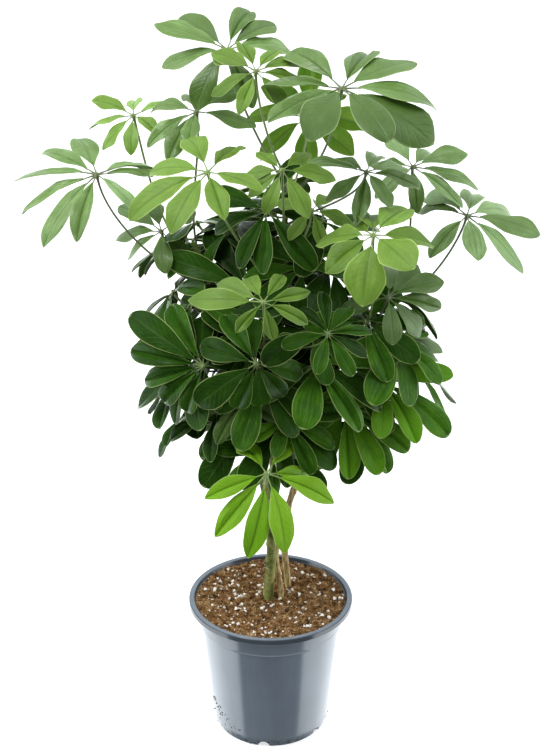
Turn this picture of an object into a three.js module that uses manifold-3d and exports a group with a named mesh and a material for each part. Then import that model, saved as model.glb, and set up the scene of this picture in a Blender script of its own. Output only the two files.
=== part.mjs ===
// Potted umbrella plant: three woody stems in a nursery pot of potting mix, each carrying palmate leaves.
// Millimetres, +Z up. The origin is the middle of the pot's flat underside, and the plant's front
// looks along -Y.
import * as THREE from "three";
import Module from "manifold-3d";

const { Vector3 } = THREE;

// Pot: thin moulded plastic, tapered, with a collar band and a turned-down rim.
const POT_HEIGHT = 166;
const RIM_RADIUS = 95;
const RIM_INNER_RADIUS = 89.2;
const RIM_SKIRT = 7.5;
const WALL = 1.8;
const FLOOR = 3;
const COLLAR_BOTTOM = 137;
const COLLAR_TOP = 161;
const COLLAR_STEP = 1.2;
const COLLAR_FOOT_RADIUS = 83.2;
const COLLAR_TOP_RADIUS = 86;
const BODY_TOP_RADIUS = 81.8;
const BODY_FOOT_RADIUS = 69.3;
const BODY_FOOT = 12;
const FLAT_RADIUS = 57;
const FOOT_RADIUS = 66.9;
const FOOT_ROUND = 4;
const SKIRT_WALL = 2;
const RIM_ROUND = 1.3;
const RIM_INNER_ROUND = 6;
const POT_SIDES = 28;
const NOTCH_COUNT = 6;
const NOTCH_WIDTH = 13;
const NOTCH_HEIGHT = 3.6;
const NOTCH_BEARING = -97;
const NOTCH_INNER = 59;
const NOTCH_OUTER = 72;
// The notch's arch, as shares of its width and height, starting below the floor.
const NOTCH_ARCH = [
  [-0.5, -1],
  [0.5, -1],
  [0.5, 0.35],
  [0.24, 1],
  [-0.24, 1],
  [-0.5, 0.35],
];

// Potting mix: fills the pot to just under the rim, with a lumpy top and a plain hole for each stem.
const MIX_TOP = 158;
const MIX_EDGE = 1;
const MIX_RINGS = [0.76, 0.45];
const MIX_LUMP = 1.3;
const LUMP_WAVES = { x: 0.19, y: 0.23, slantX: 0.07, slantY: 0.11, slantShare: 0.6 };
const HOLE_CLEARANCE = 0.8;
const HOLE_ABOVE = 12;
const SEAT_GAP = 0.35;

// Leaflets: a short stalk and an obovate blade, keeled under its midrib and arched along its length.
const STALK_SHARE = 0.24;
const STALK_HALF_WIDTH = 0.8;
const KEEL_DEPTH = 1.6;
const BLADE_ROOM = 0.9;
const BLADE_OUTLINE = [
  [0.24, 0.58],
  [0.6, 1],
  [0.88, 0.7],
];
// The blades of the runs keep fewer stations, since they lie deep in the bush.
const RUN_OUTLINE = [
  [0.4, 0.82],
  [0.82, 0.84],
];
const BLADE_PROPORTION = 0.175;
const BLADE_ARCH = rad(34);
const LEAFLET_ROOT = 2.1;
const LEAFLET_GAP = 0.9;
const SIBLING_GAP = 0.1;

// Leaf stalks: slender, flared at the foot, ending in the small knob that the leaflets spring from.
const PETIOLE_RADIUS = 1.35;
const PETIOLE_FOOT_RADIUS = 2.1;
const PETIOLE_STEPS = 4;
const PETIOLE_SIDES = 4;
const PETIOLE_RISE = 0.32;
const PETIOLE_MEET = 0.3;
const KNOB_RADIUS = 4.2;
const KNOB_HEIGHT = 3.4;
const KNOB_SHOULDER = 1.2;
const KNOB_WAIST = 2.6;
const KNOB_DEPTH = 6;
const PETIOLE_GAP = 0.8;
const RIM_ROOM = 3;
const TINY = 1e-6;

function rad(degrees) {
  return (degrees * Math.PI) / 180;
}

const COLOURS = {
  pot: { color: 0x5b656d, roughness: 0.22, metalness: 0 },
  mix: { color: 0x5a4030, roughness: 0.95, metalness: 0 },
  bark: { color: 0x8a7d52, roughness: 0.7, metalness: 0 },
  old: { color: 0x234a1c, roughness: 0.35, metalness: 0 },
  grown: { color: 0x3f7a2c, roughness: 0.38, metalness: 0 },
  young: { color: 0x74b048, roughness: 0.42, metalness: 0 },
};

// Stems: centre lines, the radius at the foot and at the tip, and the number of sides and rings. Every
// second ring is drawn in to a waist, and the stem ends in a point of a few tip radii.
const STEM_WAIST = 0.96;
const STEM_POINT = 3;
const STEMS = {
  main: {
    node: "stem_main",
    path: [
      [-3, 6, 98],
      [-3, 6, 160],
      [0, 3, 205],
      [0, 0, 256],
      [-6, -4, 305],
      [-12, -4, 360],
      [-14, -2, 410],
      [-5, 0, 500],
      [12, 0, 600],
      [22, 0, 680],
    ],
    foot: 6.8,
    tip: 2.8,
    sides: 8,
    rings: 18,
  },
  left: {
    node: "stem_left",
    path: [
      [12, 7, 98],
      [12, 7, 160],
      [6.5, 14.5, 205],
      [8, 18, 256],
      [5, 17, 305],
      [-6, 16, 380],
      [-22, 14, 440],
      [-50, 12, 520],
      [-80, 6, 594],
    ],
    foot: 4.9,
    tip: 2.6,
    sides: 6,
    rings: 15,
  },
  right: {
    node: "stem_right",
    path: [
      [20, 32, 98],
      [20, 32, 160],
      [17, 29, 205],
      [18, 24, 255],
      [36, 18, 330],
      [62, 14, 420],
      [96, 6, 500],
      [128, 2, 548],
    ],
    foot: 5.2,
    tip: 2.6,
    sides: 6,
    rings: 14,
  },
};

// Leaves placed one by one: the stem and the height of the stalk's foot on it, the hub that the leaflets
// spring from, the bearing and tilt of the umbrella's axis, and each leaflet's turn, length and droop.
const PLACED = [
  { stem: "main", foot: 662, hub: [-44, 30, 798], faces: [-95, 28], age: "grown",
    leaflets: [[-132, 82, -2], [-107, 84, -8], [-85, 74, 12], [-30, 74, 22], [28, 70, 24],
      [120, 82, 16], [144, 82, 10], [168, 82, 3]] },
  { stem: "main", foot: 672, hub: [-14, -30, 790], faces: [-90, 28], age: "young",
    leaflets: [[-164, 62, 8], [-140, 62, 9], [-116, 62, 9], [-75, 52, 22], [-20, 50, 22], [45, 52, 24],
      [96, 56, 22], [125, 62, 14], [148, 62, 17]] },
  { stem: "left", foot: 582, hub: [-76, 20, 736], faces: [-110, 22], age: "grown",
    leaflets: [[-150, 66, 13], [-104, 66, 6], [-40, 66, 8], [-14, 66, 16], [12, 58, -4], [118, 66, 18],
      [142, 66, 4]] },
  { stem: "left", foot: 566, hub: [-144, 50, 724], faces: [-120, 20], age: "young",
    leaflets: [[-148, 56, 10], [-95, 56, -12], [-66, 54, 8], [-30, 50, 25], [20, 46, 30], [66, 50, 0],
      [150, 56, 8]] },
  { stem: "left", foot: 548, hub: [-176, -30, 684], faces: [-95, 20], age: "grown", wide: 0.95,
    leaflets: [[-167, 98, 11], [-130, 98, 12], [-99, 98, 7], [-74, 90, 22], [-34, 98, 18],
      [-9, 86, 12], [50, 62, 10], [105, 66, 10], [154, 98, 15]] },
  { stem: "main", foot: 548, hub: [-60, -100, 708], faces: [-100, 22], age: "young",
    leaflets: [[-162, 82, 6], [-111, 82, 17], [-57, 94, 12], [-18, 82, 7], [22, 72, 2], [60, 72, -8],
      [164, 82, 16]] },
  { stem: "main", foot: 652, hub: [70, -60, 780], faces: [-85, 22], age: "grown", wide: 1.1,
    leaflets: [[-148, 98, 11], [-102, 82, 14], [-60, 90, 1], [-28, 90, -6], [24, 92, -1],
      [60, 108, 16], [89, 104, 7], [122, 98, 3], [154, 98, 8]] },
  { stem: "main", foot: 642, hub: [40, 80, 714], faces: [95, 60], age: "young", wide: 1.15,
    leaflets: [[-177, 78, -24], [-148, 69, 13], [-94, 73, 14], [-50, 70, 15], [0, 66, 20], [52, 72, 15],
      [106, 78, 12], [141, 78, 5]] },
  { stem: "main", foot: 622, hub: [96, -60, 696], faces: [-80, 22], age: "grown",
    leaflets: [[-152, 56, 20], [-128, 62, 2], [-60, 54, 15], [-17, 62, 15], [14, 56, -2], [84, 62, 17],
      [118, 62, 16], [154, 62, 16]] },
  { stem: "right", foot: 538, hub: [150, 30, 674], faces: [-85, 25], age: "grown",
    leaflets: [[-162, 64, 3], [-123, 56, 18], [-60, 54, 20], [0, 54, 20], [52, 70, 18], [80, 78, 12],
      [106, 66, -6], [148, 64, 17]] },
  { stem: "right", foot: 526, hub: [206, 0, 630], faces: [-70, 22], age: "grown",
    leaflets: [[-170, 84, 17], [-144, 74, 24], [-60, 66, 20], [-16, 74, -2], [36, 88, 20], [69, 86, 8],
      [110, 84, 14], [138, 84, 16]] },
  { stem: "right", foot: 492, hub: [100, -130, 654], faces: [-95, 28], age: "young", wide: 1.35,
    leaflets: [[-177, 68, 17], [-145, 68, 24], [-106, 68, 26], [-56, 60, 20], [-8, 76, 18],
      [36, 68, -10], [102, 68, 20], [150, 68, 22]] },
  { stem: "main", foot: 572, hub: [42, -60, 656], faces: [-90, 30], age: "young",
    leaflets: [[-160, 40, 15], [-100, 42, 18], [-40, 40, 20], [20, 42, 28], [76, 46, 18], [132, 46, 18]] },
  { stem: "main", foot: 596, hub: [12, -100, 710], faces: [-90, 40], age: "young",
    leaflets: [[-140, 44, 20], [-92, 44, 15], [-58, 44, 20], [-22, 48, 20], [32, 56, 18], [90, 58, 12],
      [138, 48, 20]] },
  { stem: "main", foot: 446, hub: [-6, -170, 600], faces: [-90, 50], age: "young", wide: 0.85,
    leaflets: [[-156, 62, 38], [-122, 66, 24], [-94, 78, 6], [-50, 44, 28], [18, 46, 48], [72, 52, 20],
      [108, 52, 18], [152, 52, 28]] },
  { stem: "left", foot: 398, hub: [-4, -130, 394], faces: [-60, 40], age: "young", wide: 0.88,
    leaflets: [[-88, 72, 12], [-60, 86, 25], [-28, 92, 24], [-1, 88, 14], [56, 86, 8], [82, 72, 24],
      [133, 84, 17], [173, 72, 36]] },
  { stem: "left", foot: 442, hub: [-68, -100, 502], faces: [-100, 60], age: "old", wide: 0.9,
    leaflets: [[-163, 85, 34], [-143, 90, 18], [-121, 100, 5], [-98, 90, 10], [-78, 82, 26], [-55, 82, 34],
      [-30, 74, 44], [12, 66, 50], [104, 62, 46], [148, 70, 42]] },
  { stem: "main", foot: 424, hub: [-14, -120, 514], faces: [-90, 60], age: "old", wide: 1.05,
    leaflets: [[-149, 72, 28], [-104, 72, 36], [-58, 84, 22], [-26, 68, 44], [8, 64, 50], [42, 62, 44],
      [82, 64, 38], [126, 66, 40], [171, 66, 35]] },
  { stem: "main", foot: 468, hub: [58, -120, 546], faces: [-80, 40], age: "old", wide: 0.95,
    leaflets: [[-152, 52, 19], [-82, 50, 5], [-22, 48, -2], [28, 50, 20], [66, 50, 24], [100, 54, 15],
      [142, 52, 12], [178, 52, 5]] },
  { stem: "main", foot: 402, hub: [46, -80, 494], faces: [-70, 40], age: "old", wide: 1.15,
    leaflets: [[-120, 76, 20], [-72, 74, 12], [-26, 80, -6], [20, 86, 4], [56, 92, 14], [88, 100, -6],
      [140, 82, 15]] },
  { stem: "right", foot: 466, hub: [122, -50, 558], faces: [-70, 35], age: "grown",
    leaflets: [[-155, 58, 32], [-80, 54, 25], [-11, 58, 2], [46, 60, 28], [78, 66, 14], [100, 70, -6],
      [126, 66, 4], [154, 66, 10]] },
  { stem: "right", foot: 438, hub: [124, 0, 494], faces: [-80, 28], age: "grown",
    leaflets: [[-70, 54, 15], [-29, 56, -2], [7, 56, 4], [45, 60, 20], [80, 72, 7], [106, 62, 4],
      [134, 62, 10]] },
  { stem: "right", foot: 398, hub: [118, -40, 458], faces: [-60, 30], age: "old",
    leaflets: [[-150, 70, 15], [-68, 70, -8], [-24, 70, 10], [8, 80, 10], [40, 98, 16], [76, 82, -10],
      [129, 70, 14]] },
  { stem: "left", foot: 500, hub: [-22, -40, 562], faces: [-110, 50], age: "old", wide: 0.8,
    leaflets: [[-60, 80, 26], [-83, 96, 10], [-104, 100, 2], [-126, 98, 6], [-148, 92, 12], [-171, 84, 20],
      [164, 84, 22], [130, 74, 30], [90, 70, 36]] },
  { stem: "main", foot: 518, hub: [34, -48, 590], faces: [-80, 42], age: "old",
    leaflets: [[-176, 76, 8], [-150, 76, 12], [156, 74, 6], [128, 72, 18], [98, 66, 18], [-110, 74, 16],
      [-62, 66, 26], [-14, 60, 36]] },
  { stem: "left", foot: 530, hub: [-116, 20, 606], faces: [-100, 30], age: "grown",
    leaflets: [[-157, 62, 7], [-122, 66, -4], [-96, 64, 18], [-66, 56, 30], [5, 56, 0], [60, 52, 20],
      [156, 56, 24]] },
  { stem: "left", foot: 372, hub: [-28, -60, 448], faces: [-95, 40], age: "grown",
    leaflets: [[-132, 46, 15], [-76, 54, 11], [-30, 60, 11], [15, 50, 15], [55, 48, -2], [110, 46, 20]] },
  { stem: "main", foot: 352, hub: [16, -70, 426], faces: [-75, 40], age: "old",
    leaflets: [[-64, 52, -8], [-27, 52, -12], [17, 66, 10], [58, 64, 8], [92, 66, -5], [126, 58, 7]] },
  { stem: "right", foot: 362, hub: [80, -40, 426], faces: [-75, 40], age: "old",
    leaflets: [[-70, 62, 15], [-34, 76, 20], [-5, 78, 17], [20, 82, 10], [44, 86, 8], [76, 64, 7],
      [150, 62, 25]] },
  { stem: "main", foot: 318, hub: [0, -60, 380], faces: [-50, 30], age: "old",
    leaflets: [[-166, 58, 18], [-128, 64, 12], [-84, 60, 14], [-22, 50, 20], [38, 74, 7], [78, 52, 26]] },
];

// The older leaves that fill the bush and its back: a run up each stem, turning by the golden angle.
const RUNS = [
  { stem: "main", count: 6, lowest: 422, step: 30, bearing: -144, reach: 84 },
  { stem: "left", count: 6, lowest: 378, step: 32, bearing: 160, reach: 76 },
  { stem: "right", count: 5, lowest: 366, step: 30, bearing: 20, reach: 80 },
];
const GOLDEN_ANGLE = 137.5;
const BACK_SHARE = 0.62;
const RUN_REACH_STEP = 9;
const RUN_RISE = 26;
const RUN_RISE_STEP = 6;
const RUN_TILT = 38;
const RUN_TILT_STEP = 2;
const RUN_LEAFLETS = 6;
const RUN_TURN_STEP = 17;
const RUN_LENGTH = 74;
const RUN_WIDTH = 1.1;
const RUN_LENGTH_STEP = 5;
const RUN_DROOP = 18;
const RUN_DROOP_STEP = 4;

// What a leaflet may do to stay clear of its neighbours: more droop, a swing to one side, less length.
// The least costly bend is tried first: a shortening weighs most, and a lift a little more than a droop.
const SHORTENING_WEIGHT = 140;
const LIFT_WEIGHT = 4;
const SWING_WEIGHT = 1.1;
const LEAFLET_BENDS = [];
for (const length of [1, 0.86, 0.72]) {
  for (const droop of [0, 9, -9, 18, -18, 27, -27, 36]) {
    for (const swing of [0, 8, -8, 16, -16]) {
      LEAFLET_BENDS.push({ length, droop, swing });
    }
  }
}
LEAFLET_BENDS.sort((a, b) => bendCost(a) - bendCost(b));

// What a leaf stalk may do to stay clear: bow to one side or the other. A leaf of a run may also stand at
// another bearing round its stem.
const PETIOLE_BOWS = [0, 12, -12, 24, -24, 38, -38, 54, -54];
const RUN_SWINGS = [0, 14, -14, 28, -28, 42, -42, 56, -56];

function bendCost({ length, droop, swing }) {
  const lift = droop < 0 ? LIFT_WEIGHT : 0;
  return (1 - length) * SHORTENING_WEIGHT + Math.abs(droop) + lift + Math.abs(swing) * SWING_WEIGHT;
}

const wasm = await Module();
wasm.setup();

// A closed solid through rings of equally many points, each ring anticlockwise about the way onward.
// A last ring of one point closes the solid to a tip.
function solidOf(rings) {
  const positions = [];
  const faces = [];
  const starts = [];
  for (const ring of rings) {
    starts.push(positions.length / 3);
    for (const p of ring) positions.push(p.x, p.y, p.z);
  }
  const sides = rings[0].length;
  for (let k = 0; k + 1 < rings.length; k++) {
    for (let i = 0; i < sides; i++) {
      const a = starts[k] + i;
      const b = starts[k] + ((i + 1) % sides);
      if (rings[k + 1].length === 1) {
        faces.push(a, b, starts[k + 1]);
        continue;
      }
      const c = starts[k + 1] + ((i + 1) % sides);
      const d = starts[k + 1] + i;
      if (i % 2 === 0) faces.push(a, b, c, a, c, d);
      else faces.push(a, b, d, b, c, d);
    }
  }
  for (let i = 1; i + 1 < sides; i++) faces.push(starts[0], starts[0] + i + 1, starts[0] + i);
  const last = starts[rings.length - 1];
  if (rings[rings.length - 1].length > 1) {
    for (let i = 1; i + 1 < sides; i++) faces.push(last, last + i, last + i + 1);
  }
  return manifoldOf(positions, faces);
}

function manifoldOf(positions, faces) {
  const mesh = new wasm.Mesh({
    numProp: 3,
    vertProperties: new Float32Array(positions),
    triVerts: new Uint32Array(faces),
  });
  return new wasm.Manifold(mesh);
}

function geometryOf(solid) {
  const mesh = solid.getMesh();
  const geometry = new THREE.BufferGeometry();
  geometry.setAttribute("position", new THREE.BufferAttribute(mesh.vertProperties, 3));
  geometry.setIndex(new THREE.BufferAttribute(mesh.triVerts, 1));
  geometry.computeVertexNormals();
  return geometry;
}

function join(solids) {
  return solids.reduce((whole, solid) => whole.add(solid));
}

// A turned solid: the profile's points are [radius, height] and it starts and ends on the axis.
function turned(profile, sides) {
  const rings = profile.filter(([radius]) => radius > 0);
  const positions = [];
  const faces = [];
  for (const [radius, height] of rings) {
    for (let i = 0; i < sides; i++) {
      const angle = (i / sides) * Math.PI * 2;
      positions.push(radius * Math.cos(angle), radius * Math.sin(angle), height);
    }
  }
  const bottom = positions.length / 3;
  positions.push(0, 0, profile[0][1]);
  positions.push(0, 0, profile[profile.length - 1][1]);
  for (let i = 0; i < sides; i++) {
    const j = (i + 1) % sides;
    faces.push(bottom, j, i);
    for (let k = 0; k + 1 < rings.length; k++) {
      const a = k * sides + i;
      const b = k * sides + j;
      faces.push(a, b, b + sides, a, b + sides, a + sides);
    }
    const top = (rings.length - 1) * sides;
    faces.push(top + i, top + j, bottom + 1);
  }
  return { positions, faces };
}

function potProfile() {
  return [
    [0, 0],
    [FLAT_RADIUS, 0],
    [FOOT_RADIUS, FOOT_ROUND],
    [BODY_FOOT_RADIUS, BODY_FOOT],
    [BODY_TOP_RADIUS, COLLAR_BOTTOM - COLLAR_STEP],
    [COLLAR_FOOT_RADIUS, COLLAR_BOTTOM],
    [COLLAR_TOP_RADIUS, COLLAR_TOP],
    [RIM_RADIUS - SKIRT_WALL, COLLAR_TOP],
    [RIM_RADIUS - SKIRT_WALL, POT_HEIGHT - RIM_SKIRT],
    [RIM_RADIUS, POT_HEIGHT - RIM_SKIRT],
    [RIM_RADIUS, POT_HEIGHT - RIM_ROUND],
    [RIM_RADIUS - RIM_ROUND, POT_HEIGHT],
    [RIM_INNER_RADIUS, POT_HEIGHT],
    [COLLAR_TOP_RADIUS - WALL, POT_HEIGHT - RIM_INNER_ROUND],
    ...innerWall(0),
    [0, FLOOR],
  ];
}

// The inside of the pot from the collar down to the floor, drawn in by the given clearance.
function innerWall(clearance) {
  return [
    [COLLAR_FOOT_RADIUS - WALL - clearance, COLLAR_BOTTOM],
    [BODY_FOOT_RADIUS - WALL - clearance, BODY_FOOT],
    [FLAT_RADIUS - clearance, FLOOR + clearance],
  ];
}

function makePot() {
  const body = turned(potProfile(), POT_SIDES);
  let pot = manifoldOf(body.positions, body.faces);
  for (let i = 0; i < NOTCH_COUNT; i++) {
    const bearing = rad(NOTCH_BEARING + (i * 360) / NOTCH_COUNT);
    pot = pot.subtract(makeNotch(bearing));
  }
  return pot;
}

// A shallow arch cut into the bottom edge, running inwards from the outside to short of the flat middle.
function makeNotch(bearing) {
  const outward = new Vector3(Math.cos(bearing), Math.sin(bearing), 0);
  const across = new Vector3(-outward.y, outward.x, 0);
  const ringAt = (radius) =>
    NOTCH_ARCH.map(([side, up]) =>
      outward
        .clone()
        .multiplyScalar(radius)
        .addScaledVector(across, side * NOTCH_WIDTH)
        .setZ(up * NOTCH_HEIGHT),
    );
  return solidOf([ringAt(NOTCH_INNER), ringAt(NOTCH_OUTER)]);
}

function makeMix() {
  const slope = (COLLAR_TOP_RADIUS - COLLAR_FOOT_RADIUS) / (COLLAR_TOP - COLLAR_BOTTOM);
  const topRadius = COLLAR_FOOT_RADIUS - WALL - SEAT_GAP + slope * (MIX_TOP - COLLAR_BOTTOM);
  const profile = [
    [0, FLOOR + SEAT_GAP],
    ...innerWall(SEAT_GAP).reverse(),
    [topRadius, MIX_TOP - MIX_EDGE],
    ...MIX_RINGS.map((share) => [topRadius * share, MIX_TOP]),
    [0, MIX_TOP],
  ];
  const body = turned(profile, POT_SIDES);
  for (let k = 0; k < body.positions.length; k += 3) {
    const [x, y, z] = body.positions.slice(k, k + 3);
    if (z === MIX_TOP) body.positions[k + 2] = z + lump(x, y);
  }
  let mix = manifoldOf(body.positions, body.faces);
  for (const stem of Object.values(STEMS)) mix = mix.subtract(makeHole(stem));
  return mix;
}

// The uneven top of the potting mix, as a height above its mean level.
function lump(x, y) {
  const { slantX, slantY, slantShare } = LUMP_WAVES;
  const swell = Math.sin(x * LUMP_WAVES.x + 1) * Math.cos(y * LUMP_WAVES.y);
  return MIX_LUMP * (swell + slantShare * Math.sin(x * slantX - y * slantY));
}

function makeHole(stem) {
  const radius = stem.foot + HOLE_CLEARANCE;
  const [[x, y, bottom]] = stem.path;
  const ringAt = (z) => circle(stem.sides).map(([c, s]) => new Vector3(x + radius * c, y + radius * s, z));
  return solidOf([ringAt(bottom - HOLE_CLEARANCE), ringAt(MIX_TOP + HOLE_ABOVE)]);
}

function circle(sides) {
  return Array.from({ length: sides }, (_, i) => {
    const angle = (i / sides) * Math.PI * 2;
    return [Math.cos(angle), Math.sin(angle)];
  });
}

function stemCurve(stem) {
  return new THREE.CatmullRomCurve3(stem.path.map((p) => new Vector3(...p)), false, "centripetal");
}

// The stem's radius at a share of its length.
function stemRadius(stem, share) {
  return THREE.MathUtils.lerp(stem.foot, stem.tip, share);
}

// How far a stem's ring is drawn in: every second one is a waist.
function waist(ring) {
  return ring % 2 === 0 ? STEM_WAIST : 1;
}

// The distance from the stem's centre line to the flat of its bark that faces the given way.
function barkRadius(stem, share, tangent, outward) {
  const { first, second } = ringAxes(tangent, new Vector3(1, 0, 0));
  const half = Math.PI / stem.sides;
  const angle = Math.atan2(outward.dot(second), outward.dot(first));
  const fromFlat = angle - half - 2 * half * Math.round((angle - half) / (2 * half));
  const ring = Math.floor(share * stem.rings);
  const drawnIn = THREE.MathUtils.lerp(waist(ring), waist(ring + 1), share * stem.rings - ring);
  return (stemRadius(stem, share) * drawnIn * Math.cos(half)) / Math.cos(fromFlat);
}

function makeStem(stem) {
  const curve = stemCurve(stem);
  const rings = [];
  for (let k = 0; k <= stem.rings; k++) {
    const share = k / stem.rings;
    const centre = curve.getPoint(share);
    const radius = stemRadius(stem, share) * waist(k);
    const tangent = k === 0 ? new Vector3(0, 0, 1) : curve.getTangent(share);
    rings.push(ringAround(centre, tangent, new Vector3(1, 0, 0), radius, stem.sides));
  }
  const end = curve.getPoint(1).addScaledVector(curve.getTangent(1), stem.tip * STEM_POINT);
  rings.push([end]);
  return solidOf(rings);
}

function ringAxes(tangent, towards) {
  const first = towards.clone().addScaledVector(tangent, -towards.dot(tangent)).normalize();
  return { first, second: new Vector3().crossVectors(tangent, first) };
}

function ringAround(centre, tangent, towards, radius, sides) {
  const { first, second } = ringAxes(tangent, towards);
  return circle(sides).map(([c, s]) =>
    centre.clone().addScaledVector(first, radius * c).addScaledVector(second, radius * s),
  );
}

// The umbrella's own directions: its axis, the way it leans, and the way across.
function leafFrame([bearing, tilt]) {
  const a = rad(bearing);
  const t = rad(tilt);
  return {
    axis: new Vector3(Math.cos(a) * Math.sin(t), Math.sin(a) * Math.sin(t), Math.cos(t)),
    lean: new Vector3(Math.cos(a) * Math.cos(t), Math.sin(a) * Math.cos(t), -Math.sin(t)),
    side: new Vector3(-Math.sin(a), Math.cos(a), 0),
  };
}

// A point of a leaflet's midrib at a share of its length, with the blade's directions there.
function midrib(leaf, { turn, length, droop }, share) {
  const { axis, lean, side } = leafFrame(leaf.faces);
  const around = rad(turn);
  const out = lean.clone().multiplyScalar(Math.cos(around)).addScaledVector(side, Math.sin(around));
  const across = lean.clone().multiplyScalar(-Math.sin(around)).addScaledVector(side, Math.cos(around));
  const rise = BLADE_ARCH / 2 - rad(droop);
  const angle = rise - BLADE_ARCH * share;
  const reach = (length / BLADE_ARCH) * (Math.sin(rise) - Math.sin(angle));
  const climb = (length / BLADE_ARCH) * (Math.cos(angle) - Math.cos(rise));
  const point = new Vector3(...leaf.hub).addScaledVector(out, reach).addScaledVector(axis, climb);
  const normal = axis.clone().multiplyScalar(Math.cos(angle)).addScaledVector(out, -Math.sin(angle));
  return { point, normal, across };
}

// The stations of a leaflet from its root in the knob to its tip: share of the length and half width.
function stations(leaf, leaflet) {
  const width = leaflet.length * BLADE_PROPORTION * leaf.wide;
  const blade = leaf.outline.map(([share, wide]) => [
    STALK_SHARE + (1 - STALK_SHARE) * share,
    width * wide,
  ]);
  return [[LEAFLET_ROOT / leaflet.length, STALK_HALF_WIDTH], [STALK_SHARE, STALK_HALF_WIDTH], ...blade];
}

// The left edge, keel and right edge of a leaflet at each station.
function leafletEdges(leaf, leaflet) {
  return stations(leaf, leaflet).map(([share, half]) => {
    const { point, normal, across } = midrib(leaf, leaflet, share);
    return [
      point.clone().addScaledVector(across, -half),
      point.clone().addScaledVector(normal, -KEEL_DEPTH),
      point.clone().addScaledVector(across, half),
    ];
  });
}

function makeLeaflet(leaf, leaflet) {
  return solidOf([...leafletEdges(leaf, leaflet), [midrib(leaf, leaflet, 1).point]]);
}

// The leaf stalk's centre line, from just clear of the stem's bark to the hub, which it meets along the
// umbrella's axis.
function petioleCurve(leaf) {
  const stem = STEMS[leaf.stem];
  const curve = stemCurve(stem);
  const share = shareAtHeight(curve, leaf.foot);
  const tangent = curve.getTangent(share);
  const centre = curve.getPoint(share);
  const hub = new Vector3(...leaf.hub);
  const outward = hub.clone().sub(centre).setZ(0);
  outward.addScaledVector(tangent, -outward.dot(tangent)).normalize();
  const bark = barkRadius(stem, share, tangent, outward);
  const clear = bark + SEAT_GAP + PETIOLE_FOOT_RADIUS * Math.SQRT1_2;
  const foot = centre.clone().addScaledVector(outward, clear);
  const start = outward.clone().add(tangent).normalize();
  const span = foot.distanceTo(hub);
  const sideways = new Vector3().crossVectors(start, hub.clone().sub(foot)).normalize();
  const { axis } = leafFrame(leaf.faces);
  return new THREE.CubicBezierCurve3(
    foot,
    foot.clone().addScaledVector(start, span * PETIOLE_RISE).addScaledVector(sideways, leaf.bow),
    hub.clone().addScaledVector(axis, -span * PETIOLE_MEET).addScaledVector(sideways, leaf.bow),
    hub,
  );
}

function shareAtHeight(curve, height) {
  let low = 0;
  let high = 1;
  while (high - low > TINY) {
    const middle = (low + high) / 2;
    if (curve.getPoint(middle).z < height) low = middle;
    else high = middle;
  }
  return low;
}

function makePetiole(leaf) {
  const curve = petioleCurve(leaf);
  const { axis } = leafFrame(leaf.faces);
  const hub = new Vector3(...leaf.hub);
  const towards = new Vector3().crossVectors(curve.getTangent(0), hub.clone().sub(curve.v0));
  const rings = [];
  for (let k = 0; k < PETIOLE_STEPS; k++) {
    const share = k / PETIOLE_STEPS;
    const radius = k === 0 ? PETIOLE_FOOT_RADIUS : PETIOLE_RADIUS;
    rings.push(ringAround(curve.getPoint(share), curve.getTangent(share), towards, radius, PETIOLE_SIDES));
  }
  const knob = [
    [-KNOB_DEPTH, PETIOLE_RADIUS],
    [-KNOB_WAIST, KNOB_RADIUS],
    [KNOB_SHOULDER, KNOB_RADIUS],
  ];
  for (const [height, radius] of knob) {
    const centre = hub.clone().addScaledVector(axis, height);
    rings.push(ringAround(centre, axis, towards, radius, PETIOLE_SIDES));
  }
  rings.push([hub.clone().addScaledVector(axis, KNOB_HEIGHT)]);
  return solidOf(rings);
}

// Leaves of the runs, by rule: mostly turned to the back, reaching further and leaning less up the stem.
function runLeaves() {
  const leaves = [];
  for (const run of RUNS) {
    for (let i = 0; i < run.count; i++) {
      const foot = run.lowest + run.step * i;
      const around = ((run.bearing + GOLDEN_ANGLE * i + 180) % 360) - 180;
      const fromBack = around < -90 ? around + 270 : around - 90;
      const leaflets = [];
      for (let k = 0; k < RUN_LEAFLETS; k++) {
        const turn = (360 / RUN_LEAFLETS) * k + RUN_TURN_STEP * (i % 3);
        const length = RUN_LENGTH + RUN_LENGTH_STEP * ((i + k) % 3);
        leaflets.push([turn, length, RUN_DROOP + RUN_DROOP_STEP * (k % 3)]);
      }
      leaves.push({
        stem: run.stem,
        foot,
        bearing: 90 + fromBack * BACK_SHARE,
        reach: run.reach + RUN_REACH_STEP * (i % 3),
        rise: RUN_RISE + RUN_RISE_STEP * (i % 2),
        tilt: RUN_TILT - RUN_TILT_STEP * i,
        age: "old",
        leaflets,
      });
    }
  }
  return leaves;
}

// A leaf of a run with its hub and facing, once it is swung round its stem by some degrees.
function swung(leaf, degrees) {
  const curve = stemCurve(STEMS[leaf.stem]);
  const from = curve.getPoint(shareAtHeight(curve, leaf.foot));
  const bearing = leaf.bearing + degrees;
  const x = from.x + leaf.reach * Math.cos(rad(bearing));
  const y = from.y + leaf.reach * Math.sin(rad(bearing));
  return { ...leaf, hub: [x, y, leaf.foot + leaf.rise], faces: [bearing, leaf.tilt] };
}

// What takes up room: triangles and, as triangles of no area, lines and points, each with a thickness.
function piece(a, b, c, radius) {
  const centre = a.clone().add(b).add(c).divideScalar(3);
  const extent = Math.max(centre.distanceTo(a), centre.distanceTo(b), centre.distanceTo(c)) + radius;
  return { corners: [a, b, c], radius, centre, extent };
}

function bundle(pieces) {
  const box = new THREE.Box3();
  for (const { centre } of pieces) box.expandByPoint(centre);
  const middle = box.getCenter(new Vector3());
  const extent = Math.max(...pieces.map(({ centre, extent: own }) => middle.distanceTo(centre) + own));
  return { pieces, centre: middle, extent };
}

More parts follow.
